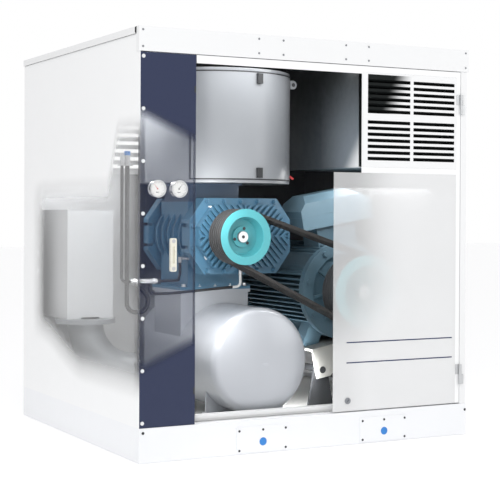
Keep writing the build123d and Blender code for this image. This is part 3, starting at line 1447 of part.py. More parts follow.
# Outlet box of six flat plates, with a flanged stub out through the rear panel.
box_back = outlet_front + outlet_length
box_middle = outlet_front + outlet_length / 2
between_sides = outlet_width - 2 * outlet_wall - 2 * seat
between_ends = outlet_height - 2 * outlet_wall - 2 * seat
with BuildPart() as outlet_box:
    for way in (-1, 1):
        with Locations((outlet_x + way * (outlet_width - outlet_wall) / 2, box_middle, outlet_z)):
            Box(outlet_wall, outlet_length, outlet_height)
        with Locations((outlet_x, box_middle, outlet_z + way * (outlet_height - outlet_wall) / 2)):
            Box(between_sides, outlet_length, outlet_wall)
        with Locations((outlet_x, box_middle + way * (outlet_length - outlet_wall) / 2, outlet_z)):
            Box(between_sides, outlet_wall, between_ends)
    with BuildSketch(across(box_back - outlet_wall)):
        with Locations((outlet_x, outlet_z)):
            Circle(pipe_radius)
    extrude(amount=-(rear_limit - box_back + outlet_wall))
    with BuildSketch(across(rear_limit)):
        with Locations((outlet_x, outlet_z)):
            Circle(flange_outer)
            with PolarLocations(flange_pcd / 2, flange_holes, start_angle=180 / flange_holes):
                Circle(flange_hole_radius, mode=Mode.SUBTRACT)
    extrude(amount=flange_depth)
    with BuildSketch(across(box_back - 2 * outlet_wall)):
        with Locations((outlet_x, outlet_z)):
            Circle(pipe_radius - pipe_wall)
    extrude(amount=-outlet_length, mode=Mode.SUBTRACT)
    with BuildSketch(Plane.XY.offset(outlet_bottom)):
        with Locations((outlet_x, outlet_y)):
            Circle(pipe_radius - pipe_wall)
    extrude(amount=2 * outlet_wall, mode=Mode.SUBTRACT)
outlet_box.part.label = "outlet_box"
export_step(outlet_box.part, "parts/outlet_box.step")

# ================================================================ oil lines
# Two stand-pipes hang on a clip by the left wall and meet at the manifold; two small
# lines run on to the blower.
wall_face = -(panel_x - skin - 2 * seat - lining)
fill_x = wall_face + fill_from_wall
vent_hose_x = wall_face + vent_hose_from_wall
manifold_left = fill_x + manifold_gap
manifold_right = manifold_left + manifold_length
loop_low = manifold_z - loop_depth
loop_right = fill_x + loop_width
loop_end = Vector(loop_right - loop_back, hose_y, manifold_z - 2 * manifold_radius)
loop_turn = Vector(loop_right, hose_y, loop_low + loop_rise)
cover_low = blower_z - cover_height / 2 + cover_rim
cover_port = Vector(blower_x - fin_gap, cover_back - cover_depth * 0.64, cover_low - port_fitting)
plate_port = Vector(blower_x - cover_width / 2 - 2 * boss_radius, (cover_back + rotor_front) / 2,
                    blower_z - bearing_radius - 2 * port_fitting)
tap_x = manifold_right - 3 * manifold_radius
hose_routes = [
    (fill_radius, loop_back, [(fill_x, hose_y, clip_z), (fill_x, hose_y, loop_low),
                             (loop_right, hose_y, loop_low), loop_turn, loop_end]),
    (vent_hose_radius, line_bend, [(vent_hose_x, hose_y, clip_z), (vent_hose_x, hose_y, manifold_z),
                                   (manifold_left, hose_y, manifold_z)]),
    (line_radius, line_bend, [(manifold_right, hose_y, manifold_z),
                              (manifold_right + line_bend, hose_y, manifold_z),
                              (plate_port.X - 2 * line_bend, hose_y + line_bend, manifold_z),
                              (plate_port.X, plate_port.Y, manifold_z + 1.4 * line_bend), plate_port]),
    (line_radius, line_bend, [(tap_x, hose_y, manifold_z - manifold_radius - seat),
                              (tap_x, hose_y, manifold_z - line_sag),
                              (manifold_right + 3 * line_bend, hose_y, manifold_z - line_sag),
                              (cover_port.X, cover_port.Y, cover_port.Z - 2.5 * line_bend), cover_port]),
]
with BuildPart() as oil_hoses:
    for radius, bend, points in hose_routes:
        with BuildLine() as route:
            FilletPolyline(*points, radius=bend)
        with BuildSketch(Plane(origin=route.line @ 0, z_dir=route.line % 0)):
            Circle(radius)
        sweep(path=route.line)
oil_hoses.part.label = "oil_hoses"
export_step(oil_hoses.part, "parts/oil_hoses.step")

drop = (loop_end - loop_turn).normalized()
with BuildPart() as hose_fittings:
    clip_right = fill_x + 2 * fill_radius
    with Locations(((wall_face + clip_right) / 2, hose_y, clip_z + seat + clip_thickness / 2)):
        Box(clip_right - wall_face - 2 * seat, 4 * fill_radius, clip_thickness)
    for x, radius in ((fill_x, fill_radius), (vent_hose_x, vent_hose_radius)):
        with BuildSketch(Plane.XY.offset(clip_z + seat)):
            with Locations((x, hose_y)):
                Circle(radius + socket_wall)
        extrude(amount=socket_height)
    with BuildSketch(Plane.YZ.offset(manifold_left + seat)):
        with Locations((hose_y, manifold_z)):
            Circle(manifold_radius)
    extrude(amount=manifold_right - manifold_left - 2 * seat)
    for x in (manifold_left + 2 * manifold_radius, manifold_right - manifold_radius):
        with BuildSketch(Plane.YZ.offset(x)):
            with Locations((hose_y, manifold_z)):
                RegularPolygon(1.3 * manifold_radius, 6)
        extrude(amount=-manifold_radius)
    with BuildSketch(Plane(origin=loop_end + drop * seat, z_dir=drop)):
        Circle(fill_radius + socket_wall)
    extrude(amount=2.2 * manifold_radius)
    with BuildSketch(Plane.XY.offset(cover_port.Z + seat)):
        with Locations((cover_port.X, cover_port.Y)):
            Circle(line_radius + socket_wall)
    extrude(amount=port_fitting - 2 * seat)
    with BuildSketch(Plane.XY.offset(plate_port.Z + seat)):
        with Locations((plate_port.X, plate_port.Y)):
            Circle(line_radius + socket_wall)
    extrude(amount=4 * line_radius)
    with BuildSketch(Plane.YZ.offset(plate_port.X)):
        with Locations((plate_port.Y, plate_port.Z + 3 * line_radius)):
            Circle(line_radius)
    extrude(amount=2 * cover_corner_x)
    add(end_plates.part, mode=Mode.SUBTRACT)
hose_fittings.part.label = "hose_fittings"
export_step(hose_fittings.part, "parts/hose_fittings.step")
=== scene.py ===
import bpy
import bmesh
import json
from math import cos, pi, radians, sin, sqrt
from mathutils import Matrix, Vector


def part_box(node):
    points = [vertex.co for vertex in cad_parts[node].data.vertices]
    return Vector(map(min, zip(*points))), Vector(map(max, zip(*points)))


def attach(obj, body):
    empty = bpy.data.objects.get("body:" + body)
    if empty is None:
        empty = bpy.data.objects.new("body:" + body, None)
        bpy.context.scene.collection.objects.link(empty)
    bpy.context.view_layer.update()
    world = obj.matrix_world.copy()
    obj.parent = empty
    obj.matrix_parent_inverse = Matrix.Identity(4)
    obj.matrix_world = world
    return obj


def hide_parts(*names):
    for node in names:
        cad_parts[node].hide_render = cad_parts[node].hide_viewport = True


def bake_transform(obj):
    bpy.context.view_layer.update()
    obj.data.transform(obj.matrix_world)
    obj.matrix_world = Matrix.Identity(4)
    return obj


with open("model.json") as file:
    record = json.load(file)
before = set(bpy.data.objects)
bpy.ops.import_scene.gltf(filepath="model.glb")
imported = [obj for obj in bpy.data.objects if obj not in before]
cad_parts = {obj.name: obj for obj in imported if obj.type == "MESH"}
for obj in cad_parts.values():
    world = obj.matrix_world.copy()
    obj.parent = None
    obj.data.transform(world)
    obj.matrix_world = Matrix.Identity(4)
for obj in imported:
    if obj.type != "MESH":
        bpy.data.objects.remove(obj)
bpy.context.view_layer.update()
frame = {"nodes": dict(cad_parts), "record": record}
nodes = frame["nodes"]
mm = 0.001  # pieces are given in mm, and materials, bodies and the camera in m


# ---------------------------------------------------------------- material helpers
class Web:
    """Short names for building a material's nodes."""

    def __init__(self, name):
        self.material = bpy.data.materials.new(name)
        self.material.use_nodes = True
        self.tree = self.material.node_tree
        self.shader = self.tree.nodes["Principled BSDF"]
        self.place = self.tree.nodes.new("ShaderNodeTexCoord").outputs["Object"]

    def put(self, socket, value):
        if hasattr(value, "is_output"):
            self.tree.links.new(value, socket)
        elif value is not None:
            socket.default_value = value

    def math(self, operation, a, b=None, c=None):
        node = self.tree.nodes.new("ShaderNodeMath")
        node.operation = operation
        for socket, value in zip(node.inputs, (a, b, c)):
            self.put(socket, value)
        return node.outputs[0]

    def xyz(self):
        """The point's x, y and z in the object's own frame, in metres."""
        node = self.tree.nodes.new("ShaderNodeSeparateXYZ")
        self.put(node.inputs[0], self.place)
        return node.outputs

    def ramp(self, value, start, end, first=0.0, last=1.0):
        """Smooth change from first to last as value runs from start to end."""
        node = self.tree.nodes.new("ShaderNodeMapRange")
        node.interpolation_type = "SMOOTHSTEP"
        if start > end:
            start, end, first, last = end, start, last, first
        for socket, item in zip(node.inputs, (value, start, end, first, last)):
            self.put(socket, item)
        return node.outputs[0]

    def above(self, value, limit):
        """1 where value is over the limit, else 0."""
        return self.math("GREATER_THAN", value, limit)

    def below(self, value, limit):
        """1 where value is under the limit, else 0."""
        return self.math("LESS_THAN", value, limit)

    def every(self, first, *others):
        """Product of masks: 1 where all of them are."""
        for other in others:
            first = self.math("MULTIPLY", first, other)
        return first

    def either(self, a, b):
        """1 where either mask is."""
        return self.math("MAXIMUM", a, b)

    def noise(self, scale, detail=3.0):
        node = self.tree.nodes.new("ShaderNodeTexNoise")
        self.put(node.inputs["Vector"], self.place)
        node.inputs["Scale"].default_value = scale
        node.inputs["Detail"].default_value = detail
        return node.outputs["Fac"]

    def mix(self, factor, a, b):
        node = self.tree.nodes.new("ShaderNodeMix")
        node.data_type = "RGBA"
        self.put(node.inputs["Factor"], factor)
        for socket, value in zip((s for s in node.inputs if s.type == "RGBA"), (a, b)):
            self.put(socket, (*value, 1.0) if isinstance(value, tuple) else value)
        return [s for s in node.outputs if s.type == "RGBA"][0]

    def bump(self, height, strength, distance):
        node = self.tree.nodes.new("ShaderNodeBump")
        self.put(node.inputs["Height"], height)
        node.inputs["Strength"].default_value = strength
        node.inputs["Distance"].default_value = distance
        self.put(self.shader.inputs["Normal"], node.outputs[0])


def finish_of(name, colour, rough=0.45, metal=0.0, coat=0.0, grain=250.0, relief=0.1, mottle=0.06,
              spread=0.05):
    """A surface with slight changes of tone and roughness and a fine relief."""
    web = Web(name)
    shade = tuple(c * (1 - mottle * 2) for c in colour)
    tone = web.noise(6.0, 4.0)
    web.put(web.shader.inputs["Base Color"], web.mix(tone, shade, colour))
    sheen = web.ramp(web.noise(30.0), 0.3, 0.7, rough - spread, rough + spread)
    web.put(web.shader.inputs["Roughness"], sheen)
    web.shader.inputs["Metallic"].default_value = metal
    web.shader.inputs["Coat Weight"].default_value = coat
    web.bump(web.noise(grain, 2.0), relief, 0.0006)
    return web


# ---------------------------------------------------------------- paints, one for each material slot
WHITE = (0.80, 0.805, 0.81)
NAVY = (0.012, 0.021, 0.066)
HOSE_BLACK = (0.018, 0.018, 0.02)
# The next colour is painted shade, the dark end of the duct sheets' shading.
DUCT_PAINTED_SHADE = (0.015, 0.017, 0.018)
paints = {
    "panel_white": finish_of("panel white", WHITE, 0.42, mottle=0.01),
    "base_paint": finish_of("base paint", (0.84, 0.85, 0.87), 0.42, mottle=0.01),
    "zinc": finish_of("zinc", (0.62, 0.63, 0.64), 0.38, 0.9, mottle=0.1),
    "chrome_trim": finish_of("chrome trim", (0.80, 0.81, 0.82), 0.14, 1.0, mottle=0.03, spread=0.03),
    "black_rubber": finish_of("black rubber", (0.022, 0.022, 0.024), 0.8, mottle=0.15),
    "blue_cast": finish_of("blue cast", (0.082, 0.21, 0.325), 0.36, coat=0.25, grain=180.0, relief=0.35,
                           mottle=0.14),
    "blue_dark": finish_of("blue dark", (0.05, 0.085, 0.14), 0.4, coat=0.2, mottle=0.1),
    "tank_paint": finish_of("tank paint", (0.48, 0.50, 0.535), 0.33, 0.2, coat=0.3, mottle=0.03),
    "drum_grey": finish_of("drum grey", (0.30, 0.315, 0.335), 0.42, 0.1, coat=0.2, mottle=0.03),
    "motor_blue": finish_of("motor blue", (0.125, 0.215, 0.275), 0.4, coat=0.2, grain=180.0, relief=0.3,
                            mottle=0.12),
    "terminal_blue": finish_of("terminal blue", (0.17, 0.28, 0.35), 0.4, coat=0.2, mottle=0.05),
    "steel": finish_of("steel", (0.56, 0.57, 0.58), 0.32, 0.95, mottle=0.08),
    "rotor_iron": finish_of("rotor iron", (0.30, 0.30, 0.31), 0.4, 0.8, mottle=0.1),
    "belt_rubber": finish_of("belt rubber", (0.035, 0.033, 0.032), 0.7, mottle=0.2),
    "base_white": finish_of("base white", (0.80, 0.80, 0.78), 0.45, mottle=0.02),
    "base_beige": finish_of("base beige", (0.40, 0.40, 0.375), 0.5, mottle=0.06),
    "support_black": finish_of("support black", (0.03, 0.032, 0.035), 0.5, mottle=0.1),
    "spring_steel": finish_of("spring steel", (0.30, 0.30, 0.31), 0.35, 0.9, mottle=0.1),
    "filter_paper": finish_of("filter paper", (0.72, 0.66, 0.52), 0.9, mottle=0.08),
    "copper_core": finish_of("core iron", (0.16, 0.15, 0.15), 0.6, 0.6, mottle=0.1),
    "gauge_black": finish_of("gauge black", (0.03, 0.03, 0.032), 0.35, mottle=0.05),
    "needle_red": finish_of("needle red", (0.62, 0.05, 0.03), 0.5, mottle=0.02),
    "needle_black": finish_of("needle black", (0.015, 0.015, 0.015), 0.5, mottle=0.02),
    "level_cream": finish_of("level cream", (0.78, 0.76, 0.66), 0.3, mottle=0.03),
    "pipe_grey": finish_of("pipe grey", (0.27, 0.285, 0.30), 0.42, 0.1, mottle=0.05),
}
glass = Web("clear glass")
glass.put(glass.shader.inputs["Base Color"], (0.95, 0.97, 0.98, 1.0))
glass.put(glass.shader.inputs["Roughness"], glass.ramp(glass.noise(20.0), 0.3, 0.7, 0.03, 0.06))
glass.shader.inputs["Alpha"].default_value = 0.12
paints["clear_glass"] = glass

# Paints of the trim, which have no slot of their own.
dot_grey = finish_of("screw grey", (0.25, 0.26, 0.28), 0.4, 0.4, mottle=0.05)
bright = finish_of("screw white", (0.80, 0.81, 0.82), 0.35, 0.3, mottle=0.03)
dark = finish_of("dark trim", (0.03, 0.032, 0.036), 0.5, mottle=0.05)
blue_label = finish_of("blue label", (0.03, 0.22, 0.62), 0.45, mottle=0.02)
navy_print = finish_of("navy print", (0.02, 0.03, 0.10), 0.5, mottle=0.02)
dial_white = finish_of("dial white", (0.86, 0.86, 0.84), 0.5, mottle=0.01)
red_knob = finish_of("red knob", (0.60, 0.05, 0.05), 0.4, mottle=0.03)


# ---------------------------------------------------------------- sheets that are shown half clear
def placed(name, colour, rough, **detail):
    """A finish, and the x, y and z that its masks are drawn from."""
    web = finish_of(name, colour, rough, **detail)
    return web, *web.xyz()


def both_faces(opacity):
    """Alpha of each face of a sheet that together give an opacity."""
    return 1 - sqrt(1 - opacity)


# Door: clear left of the veil's edge and beside the grille, then a white veil that thickens
# downwards and to the right. The top band, the hinged edge and the part under the grille are solid.
VEIL_EDGE, VEIL_TOP, BAND, HINGED = 0.100, 1.182, 1.614, 0.750
THIN_VEIL, THICK_VEIL = both_faces(0.58), both_faces(0.955)
GRILLE_MARGIN = 0.004
grille_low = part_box("door_grille")[0]
door, x, y, z = placed("door veil", (0.86, 0.865, 0.87), 0.42, mottle=0.01)
reach = door.math("ADD", door.ramp(x, 0.10, 0.52, 0.0, 0.9), door.ramp(z, 0.72, 0.30, 0.0, 0.6))
thickness = door.ramp(reach, 0.0, 1.0, THIN_VEIL, THICK_VEIL)
shown = door.every(door.above(x, VEIL_EDGE), door.below(z, VEIL_TOP))
under_grille = door.every(door.above(z, VEIL_TOP), door.above(x, grille_low.x - GRILLE_MARGIN))
solid = door.either(door.either(door.above(z, BAND), door.above(x, HINGED)), under_grille)
door.put(door.shader.inputs["Alpha"], door.either(door.every(shown, thickness), solid))

# Grille: white bars, with painted shade making the faces between and behind them dark, and the upper left
# bank fades to dark, standing for the duct's dark inside seen through it.
GRILLE_SKIN, UPPER_BANK, GRILLE_EDGE, FADE_SLANT = 0.0012, 1.443, 0.027, -0.45
grille, x, y, z = placed("grille", WHITE, 0.42, mottle=0.01)
slant = grille.math("MULTIPLY_ADD", z, FADE_SLANT, x)
fade = grille.every(grille.ramp(slant, -0.205, -0.315), grille.above(z, UPPER_BANK),
                    grille.above(x, grille_low.x + GRILLE_EDGE), grille.below(z, BAND))
# Painted shade: the faces behind the bars' front skin are near black and less shiny, as is the faded upper
# left bank.
shade_and_duct_dark = grille.either(grille.above(y, grille_low.y + GRILLE_SKIN), fade)
grille.put(grille.shader.inputs["Base Color"], grille.mix(shade_and_duct_dark, WHITE, (0.012, 0.014, 0.014)))
grille.put(grille.shader.inputs["Specular IOR Level"], grille.math("MULTIPLY_ADD", shade_and_duct_dark, -0.45, 0.5))

# Strip panel: solid at the top and bottom, half clear between two slanted soft edges.
STRIP_CLEAR, TOP_SLANT, LOW_SLANT = both_faces(0.45), 0.407, -0.435
strip, x, y, z = placed("strip veil", NAVY, 0.45, mottle=0.01)
top_edge = strip.ramp(strip.math("MULTIPLY_ADD", x, TOP_SLANT, z), 1.045, 1.12)
low_edge = strip.ramp(strip.math("MULTIPLY_ADD", x, LOW_SLANT, z), 0.765, 0.69)
hidden = strip.either(top_edge, low_edge)
strip.put(strip.shader.inputs["Alpha"], strip.math("MULTIPLY_ADD", hidden, 1 - STRIP_CLEAR, STRIP_CLEAR))

# Side panels: only the left one fades, over a soft-edged patch.
SIDE_CLEAR = both_faces(0.22)
side, x, y, z = placed("side veil", (0.87, 0.875, 0.88), 0.42, mottle=0.01)
top_line = side.math("MULTIPLY_ADD", side.ramp(y, -0.36, -0.50), -0.24, z)
low_line = side.math("MULTIPLY_ADD", side.ramp(y, -0.10, 0.50), -0.14, z)
patch = side.every(side.ramp(low_line, 0.24, 0.40), side.ramp(top_line, 1.17, 1.03), side.ramp(y, 0.60, 0.40),
                   side.below(x, 0.0))
side.put(side.shader.inputs["Alpha"], side.math("SUBTRACT", 1.0, side.every(patch, 1 - SIDE_CLEAR)))

# Frame: the post behind the faded patch is clear.
post, x, y, z = placed("frame left open", WHITE, 0.42, mottle=0.01)
gone = post.every(post.ramp(z, 0.24, 0.34), post.ramp(z, 1.60, 1.50),
                  post.below(x, -0.70), post.below(y, 0.60))
post.put(post.shader.inputs["Alpha"], post.math("SUBTRACT", 1.0, gone))

# Door seal: clear wherever the door in front of it is.
clear_seal, x, y, z = placed("seal left open", (0.03, 0.03, 0.03), 0.8)
clear_seal.put(clear_seal.shader.inputs["Alpha"],
               clear_seal.either(clear_seal.above(z, BAND), clear_seal.above(x, HINGED)))

# Lining: clear behind the faded patch; black foam, with painted light making it pale in the left bay and low
# down.
LINING_SLAB = -0.770
lining, x, y, z = placed("foam left open", (0.045, 0.047, 0.05), 0.95, grain=400.0, relief=0.8, mottle=0.25)
lining.put(lining.shader.inputs["Alpha"], lining.above(x, LINING_SLAB))
# Painted light: where the mask below is 0, in the left bay and low down, the black foam is coloured pale.
shade = lining.every(lining.ramp(z, 0.42, 0.75), lining.ramp(x, -0.36, -0.16))
lining.put(lining.shader.inputs["Base Color"], lining.mix(shade, (0.72, 0.725, 0.735), (0.035, 0.037, 0.04)))

# Air duct: black foam inside. Outside it has painted shade, dark at the upper rear, and painted light, pale
# at the lower front corner.
DUCT_SKIN, PALE_LIGHT_SLANT = 0.0015, 1.2
duct, x, y, z = placed("duct sheet", WHITE, 0.5, mottle=0.01)
duct_low, duct_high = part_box("air_duct")
inner = duct.every(duct.above(x, duct_low.x + DUCT_SKIN), duct.below(x, duct_high.x - DUCT_SKIN),
                   duct.above(z, duct_low.z + DUCT_SKIN), duct.below(y, duct_high.y - DUCT_SKIN),
                   duct.above(y, duct_low.y + DUCT_SKIN))
# Painted shade and light: the outer sheet runs from dark at the upper rear to grey at the lower front.
lit = duct.every(duct.ramp(y, -0.20, -0.68), duct.ramp(z, 1.65, 1.22))
tone = duct.mix(lit, DUCT_PAINTED_SHADE, (0.19, 0.22, 0.25))
# Painted light: the lower front corner of the outer sheet turns pale.
pale_painted_light = duct.ramp(duct.math("MULTIPLY_ADD", y, PALE_LIGHT_SLANT, z), 0.56, 0.40)
tone = duct.mix(pale_painted_light, tone, (0.78, 0.79, 0.80))
duct.put(duct.shader.inputs["Base Color"], duct.mix(inner, tone, (0.02, 0.021, 0.022)))

# Pulleys: teal, with the belt wrap dark round the rim and painted shade making the recess a little darker.
PULLEY_FRONT, RECESS, WRAP, WRAP_DEPTH = -0.595, 0.003, 0.012, 0.014


def pulley_paint(name):
    web, x, y, z = placed(name + " teal", (0.075, 0.36, 0.40), 0.36, coat=0.2, mottle=0.05)
    low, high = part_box(name)
    middle, radius = (low + high) / 2, (high.x - low.x) / 2
    across, up = web.math("SUBTRACT", x, middle.x), web.math("SUBTRACT", z, middle.z)
    out = web.math("SQRT", web.math("ADD", web.every(across, across), web.every(up, up)))
    rim = web.every(web.above(out, radius - WRAP_DEPTH), web.above(y, PULLEY_FRONT + WRAP))
    # Painted shade: the recess behind the front face is darker teal.
    recess_shade = web.every(web.above(y, PULLEY_FRONT + RECESS), 0.35)
    tone = web.mix(recess_shade, (0.085, 0.40, 0.44), (0.03, 0.17, 0.20))
    web.put(web.shader.inputs["Base Color"], web.mix(rim, tone, (0.075, 0.078, 0.082)))
    return web


# Oil lines: black rubber with a pale braided elbow at the cover.
hoses, x, y, z = placed("hose lines", HOSE_BLACK, 0.55, mottle=0.15)
braid = hoses.every(hoses.above(x, -0.232), hoses.below(y, -0.380))
hoses.put(hoses.shader.inputs["Base Color"], hoses.mix(braid, HOSE_BLACK, (0.66, 0.67, 0.66)))

# Every CAD node takes the paint of its slot, unless it is named here.
slot_of = {entry["node"]: entry["material_slot"] for entry in frame["record"]["subparts"]}
special = {
    "door_panel": door, "door_grille": grille, "door_seal": clear_seal, "door_lock": dot_grey,
    "front_strip": strip, "side_panels": side, "frame_tubes": post,
    "acoustic_lining": lining, "air_duct": duct, "oil_hoses": hoses,
    "floor_pan": paints["base_white"], "swing_base": paints["base_beige"],
    "drum_clamps": paints["support_black"],
    "blower_pulley": pulley_paint("blower_pulley"), "motor_pulley": pulley_paint("motor_pulley"),
    "outlet_box": finish_of("outlet sheet", (0.62, 0.63, 0.64), 0.45, mottle=0.02),
}
for name, item in nodes.items():
    web = special.get(name) or paints[slot_of[name]]
    item.data.materials.clear()
    item.data.materials.append(web.material)


# ---------------------------------------------------------------- geometry helpers
def piece(name, mesh_builder, web, body, smooth=True):
    """One mesh object built by mesh_builder(bmesh), which rides on a body."""
    bm = bmesh.new()
    mesh_builder(bm)
    mesh = bpy.data.meshes.new(name)
    bm.to_mesh(mesh)
    bm.free()
    item = bpy.data.objects.new(name, mesh)
    bpy.context.scene.collection.objects.link(item)
    mesh.materials.append(web.material)
    if smooth:
        for face in mesh.polygons:
            face.use_smooth = True
        mesh.set_sharp_from_angle(angle=radians(35))
    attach(item, body)


TURNS = {"X": Matrix.Rotation(pi / 2, 4, "Y"), "Y": Matrix.Rotation(pi / 2, 4, "X"), "Z": Matrix.Identity(4)}
OUTWARDS = Vector((0, -1, 0))
HEX = 6


def rod(bm, at, radius, depth, axis="Y", sides=24, turn=0.0):
    """Cylinder or prism centred at a point along an axis."""
    place = Matrix.Translation(Vector(at) * mm) @ TURNS[axis] @ Matrix.Rotation(turn, 4, "Z")
    bmesh.ops.create_cone(bm, cap_ends=True, segments=sides, radius1=radius * mm, radius2=radius * mm,
                          depth=depth * mm, matrix=place)


def block(bm, at, size, turn=Matrix.Identity(4)):
    """Box centred at a point, turned about it."""
    place = Matrix.Translation(Vector(at) * mm) @ turn @ Matrix.Diagonal((*(edge * mm for edge in size), 1))
    bmesh.ops.create_cube(bm, size=1.0, matrix=place)


def dome(bm, at, radius, height):
    """Low round head: three stacked rings that stand out of a face at the front."""
    for share, top in ((1.0, 0.45), (0.86, 0.8), (0.6, 1.0)):
        rod(bm, Vector(at) + OUTWARDS * height * top / 2, radius * share, height * top, sides=20)


# ---------------------------------------------------------------- trim on the enclosure
FRONT, FACE, COVER_FACE = -720.0, -716.0, -723.0  # plinth and fascia, door and strip, pocket covers
POCKETS = (-246, 361)


def heads(places, radius, height):
    def build(bm):
        for at in places:
            dome(bm, at, radius, height)
    return build


fascia_places = [(x, FRONT, z) for x in (-798, 798) for z in (1735, 1668)]
fascia_places += [(x, FRONT, z) for x in (-272, -155, 156, 273) for z in (1731, 1671)]
strip_places = [(-794, FACE, 160 + 210 * k) for k in range(8)]
plinth_places = [(-792, FRONT, 121), (803, FRONT, 112)]
pocket_places = [(pocket + x, COVER_FACE, z) for pocket in POCKETS for x in (-112, 0, 109)
                 for z in (98, 16) if (x, z) != (0, 16)]
piece("fascia_screws", heads(fascia_places, 4.5, 2.0), dot_grey, "skid")
piece("strip_screws", heads(strip_places, 8.0, 3.0), bright, "skid")
piece("plinth_screws", heads(plinth_places, 6.0, 2.5), dark, "skid")
piece("pocket_screws", heads(pocket_places, 5.0, 2.2), dark, "skid")


def discs(bm):
    for x in POCKETS:
        rod(bm, (x, COVER_FACE - 0.4, 48), 17.0, 0.8, sides=40)


def latches(bm):
    for z in (1507, 278):
        block(bm, (-565, FACE - 0.6, z), (7, 1.2, 26))


def lines(bm):
    for z in (443, 355):
        block(bm, (450, FACE - 0.3, z), (563, 0.6, 5.0))


piece("lifting_marks", discs, blue_label, "skid")
piece("strip_latches", latches, dark, "skid")
piece("door_lines", lines, navy_print, "door")

# ---------------------------------------------------------------- instruments
GAUGES, DIAL_FACE, DIAL_RADIUS, TICK_RADIUS = ((-728, 1100), (-633, 1100)), -710.12, 30.6, 28.5
TICK_FACE, TICK_START, TICK_STEP, TICKS = DIAL_FACE - 0.16, -135, 10, 28


def dials(bm):
    for x, z in GAUGES:
        rod(bm, (x, DIAL_FACE, z), DIAL_RADIUS, 0.2, sides=48)


def ticks(bm):
    for x, z in GAUGES:
        for k in range(TICKS):
            turn = radians(TICK_START + TICK_STEP * k)
            length, width = (6.0, 1.0) if k % 3 == 0 else (3.4, 0.6)
            out = TICK_RADIUS - length / 2
            at = (x + out * sin(turn), TICK_FACE, z + out * cos(turn))
            block(bm, at, (width, 0.14, length), Matrix.Rotation(turn, 4, "Y"))
        block(bm, (x, TICK_FACE, z - 14), (14, 0.14, 3.0))


def level_parts(bm):
    for z in (778, 889):
        rod(bm, (-664, -729, z), 8.5, 1.6, sides=HEX)


piece("gauge_dials", dials, dial_white, "skid")
piece("gauge_ticks", ticks, dark, "skid", smooth=False)
piece("level_bolts", level_parts, paints["zinc"], "skid")

# ---------------------------------------------------------------- blower
BLOWER_X, BLOWER_Z = -178.0, 901.5
COVER_BOLT_RISE, COVER_BOLT_PITCH = 152.5, 500 / 6
FOOT_X, FOOT_Y, FOOT_PITCH = -245, -256, 76


def cover_bolts(bm):
    spots = [(BLOWER_X + k * COVER_BOLT_PITCH, BLOWER_Z + rise)
             for k in range(-2, 3) for rise in (-COVER_BOLT_RISE, COVER_BOLT_RISE)]
    for x, z in spots:
        rod(bm, (x, -396.0, z), 10.0, 2.0)
        rod(bm, (x, -400.5, z), 8.6, 7.0, sides=HEX, turn=x)


def foot_bolts(bm):
    for k in range(-2, 3):
        rod(bm, (FOOT_X + k * FOOT_PITCH, FOOT_Y, 675.5), 11.0, 2.0, "Z")
        rod(bm, (FOOT_X + k * FOOT_PITCH, FOOT_Y, 681.0), 9.0, 9.0, "Z", HEX)


piece("cover_bolts", cover_bolts, paints["blue_cast"], "skid")
piece("foot_bolts", foot_bolts, bright, "skid")

# ---------------------------------------------------------------- shaft ends
SHAFT_FACE, BUSH_FACE, BUSH_CIRCLE = -569.0, -557.2, 37


def shaft_end(x, z, radius):
    """Pale shaft end with its centre hole shown as a dark disc of painted shade, and three dark screws in the
    bush round it.
    """
    def pale(bm):
        rod(bm, (x, SHAFT_FACE - 0.4, z), radius, 0.8, sides=40)

    def holes(bm):
        # Painted shade: a dark disc stands for the centre hole.
        rod(bm, (x, SHAFT_FACE - 1.2, z), 7.0, 0.8, sides=20)
        for k in range(3):
            turn = radians(15 + 120 * k)
            at = (x + BUSH_CIRCLE * sin(turn), BUSH_FACE - 0.6, z + BUSH_CIRCLE * cos(turn))
            rod(bm, at, 7.0, 1.2, sides=16)
    return pale, holes


for name, body, radius in (("blower_pulley", "drive_shaft", 23.0), ("motor_pulley", "motor_shaft", 29.0)):
    low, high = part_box(name)
    middle = (low + high) / 2 / mm
    pale, holes = shaft_end(middle.x, middle.z, radius)
    piece(name + "_shaft_end", pale, bright, body)
    piece(name + "_bush_holes", holes, dark, body)

# ---------------------------------------------------------------- motor
TILT, MOTOR_X, MOTOR_Z, FLANGE_CIRCLE, FLANGE_FACE = radians(10), 356.0, 649.0, 200, -401.0


def on_motor(across, y, up):
    """Point in the tilted motor's own plane."""
    return Vector((MOTOR_X + across * cos(TILT) - up * sin(TILT), y,
                   MOTOR_Z + across * sin(TILT) + up * cos(TILT)))


def flange_bolts(bm):
    for k in range(8):
        turn = radians(22.5 + 45 * k)
        at = on_motor(FLANGE_CIRCLE * sin(turn), FLANGE_FACE, FLANGE_CIRCLE * cos(turn))
        rod(bm, at, 15.0, 2.0)
        rod(bm, at + OUTWARDS * 5.5, 12.5, 9.0, sides=HEX)


piece("flange_bolts", flange_bolts, paints["motor_blue"], "swing")

# ---------------------------------------------------------------- drum and plugs
DRUM, DRUM_LOW, DRUM_HIGH = Vector((-198.0, -150.0, 0)), 1135.0, 1635.0
COVER_SHELL, GASKET, GASKET_INSET, GASKET_WIDTH = 348.6, 0.8, 13, 6
COVER_START, COVER_END = -134, -30
LUG_Z = 1590


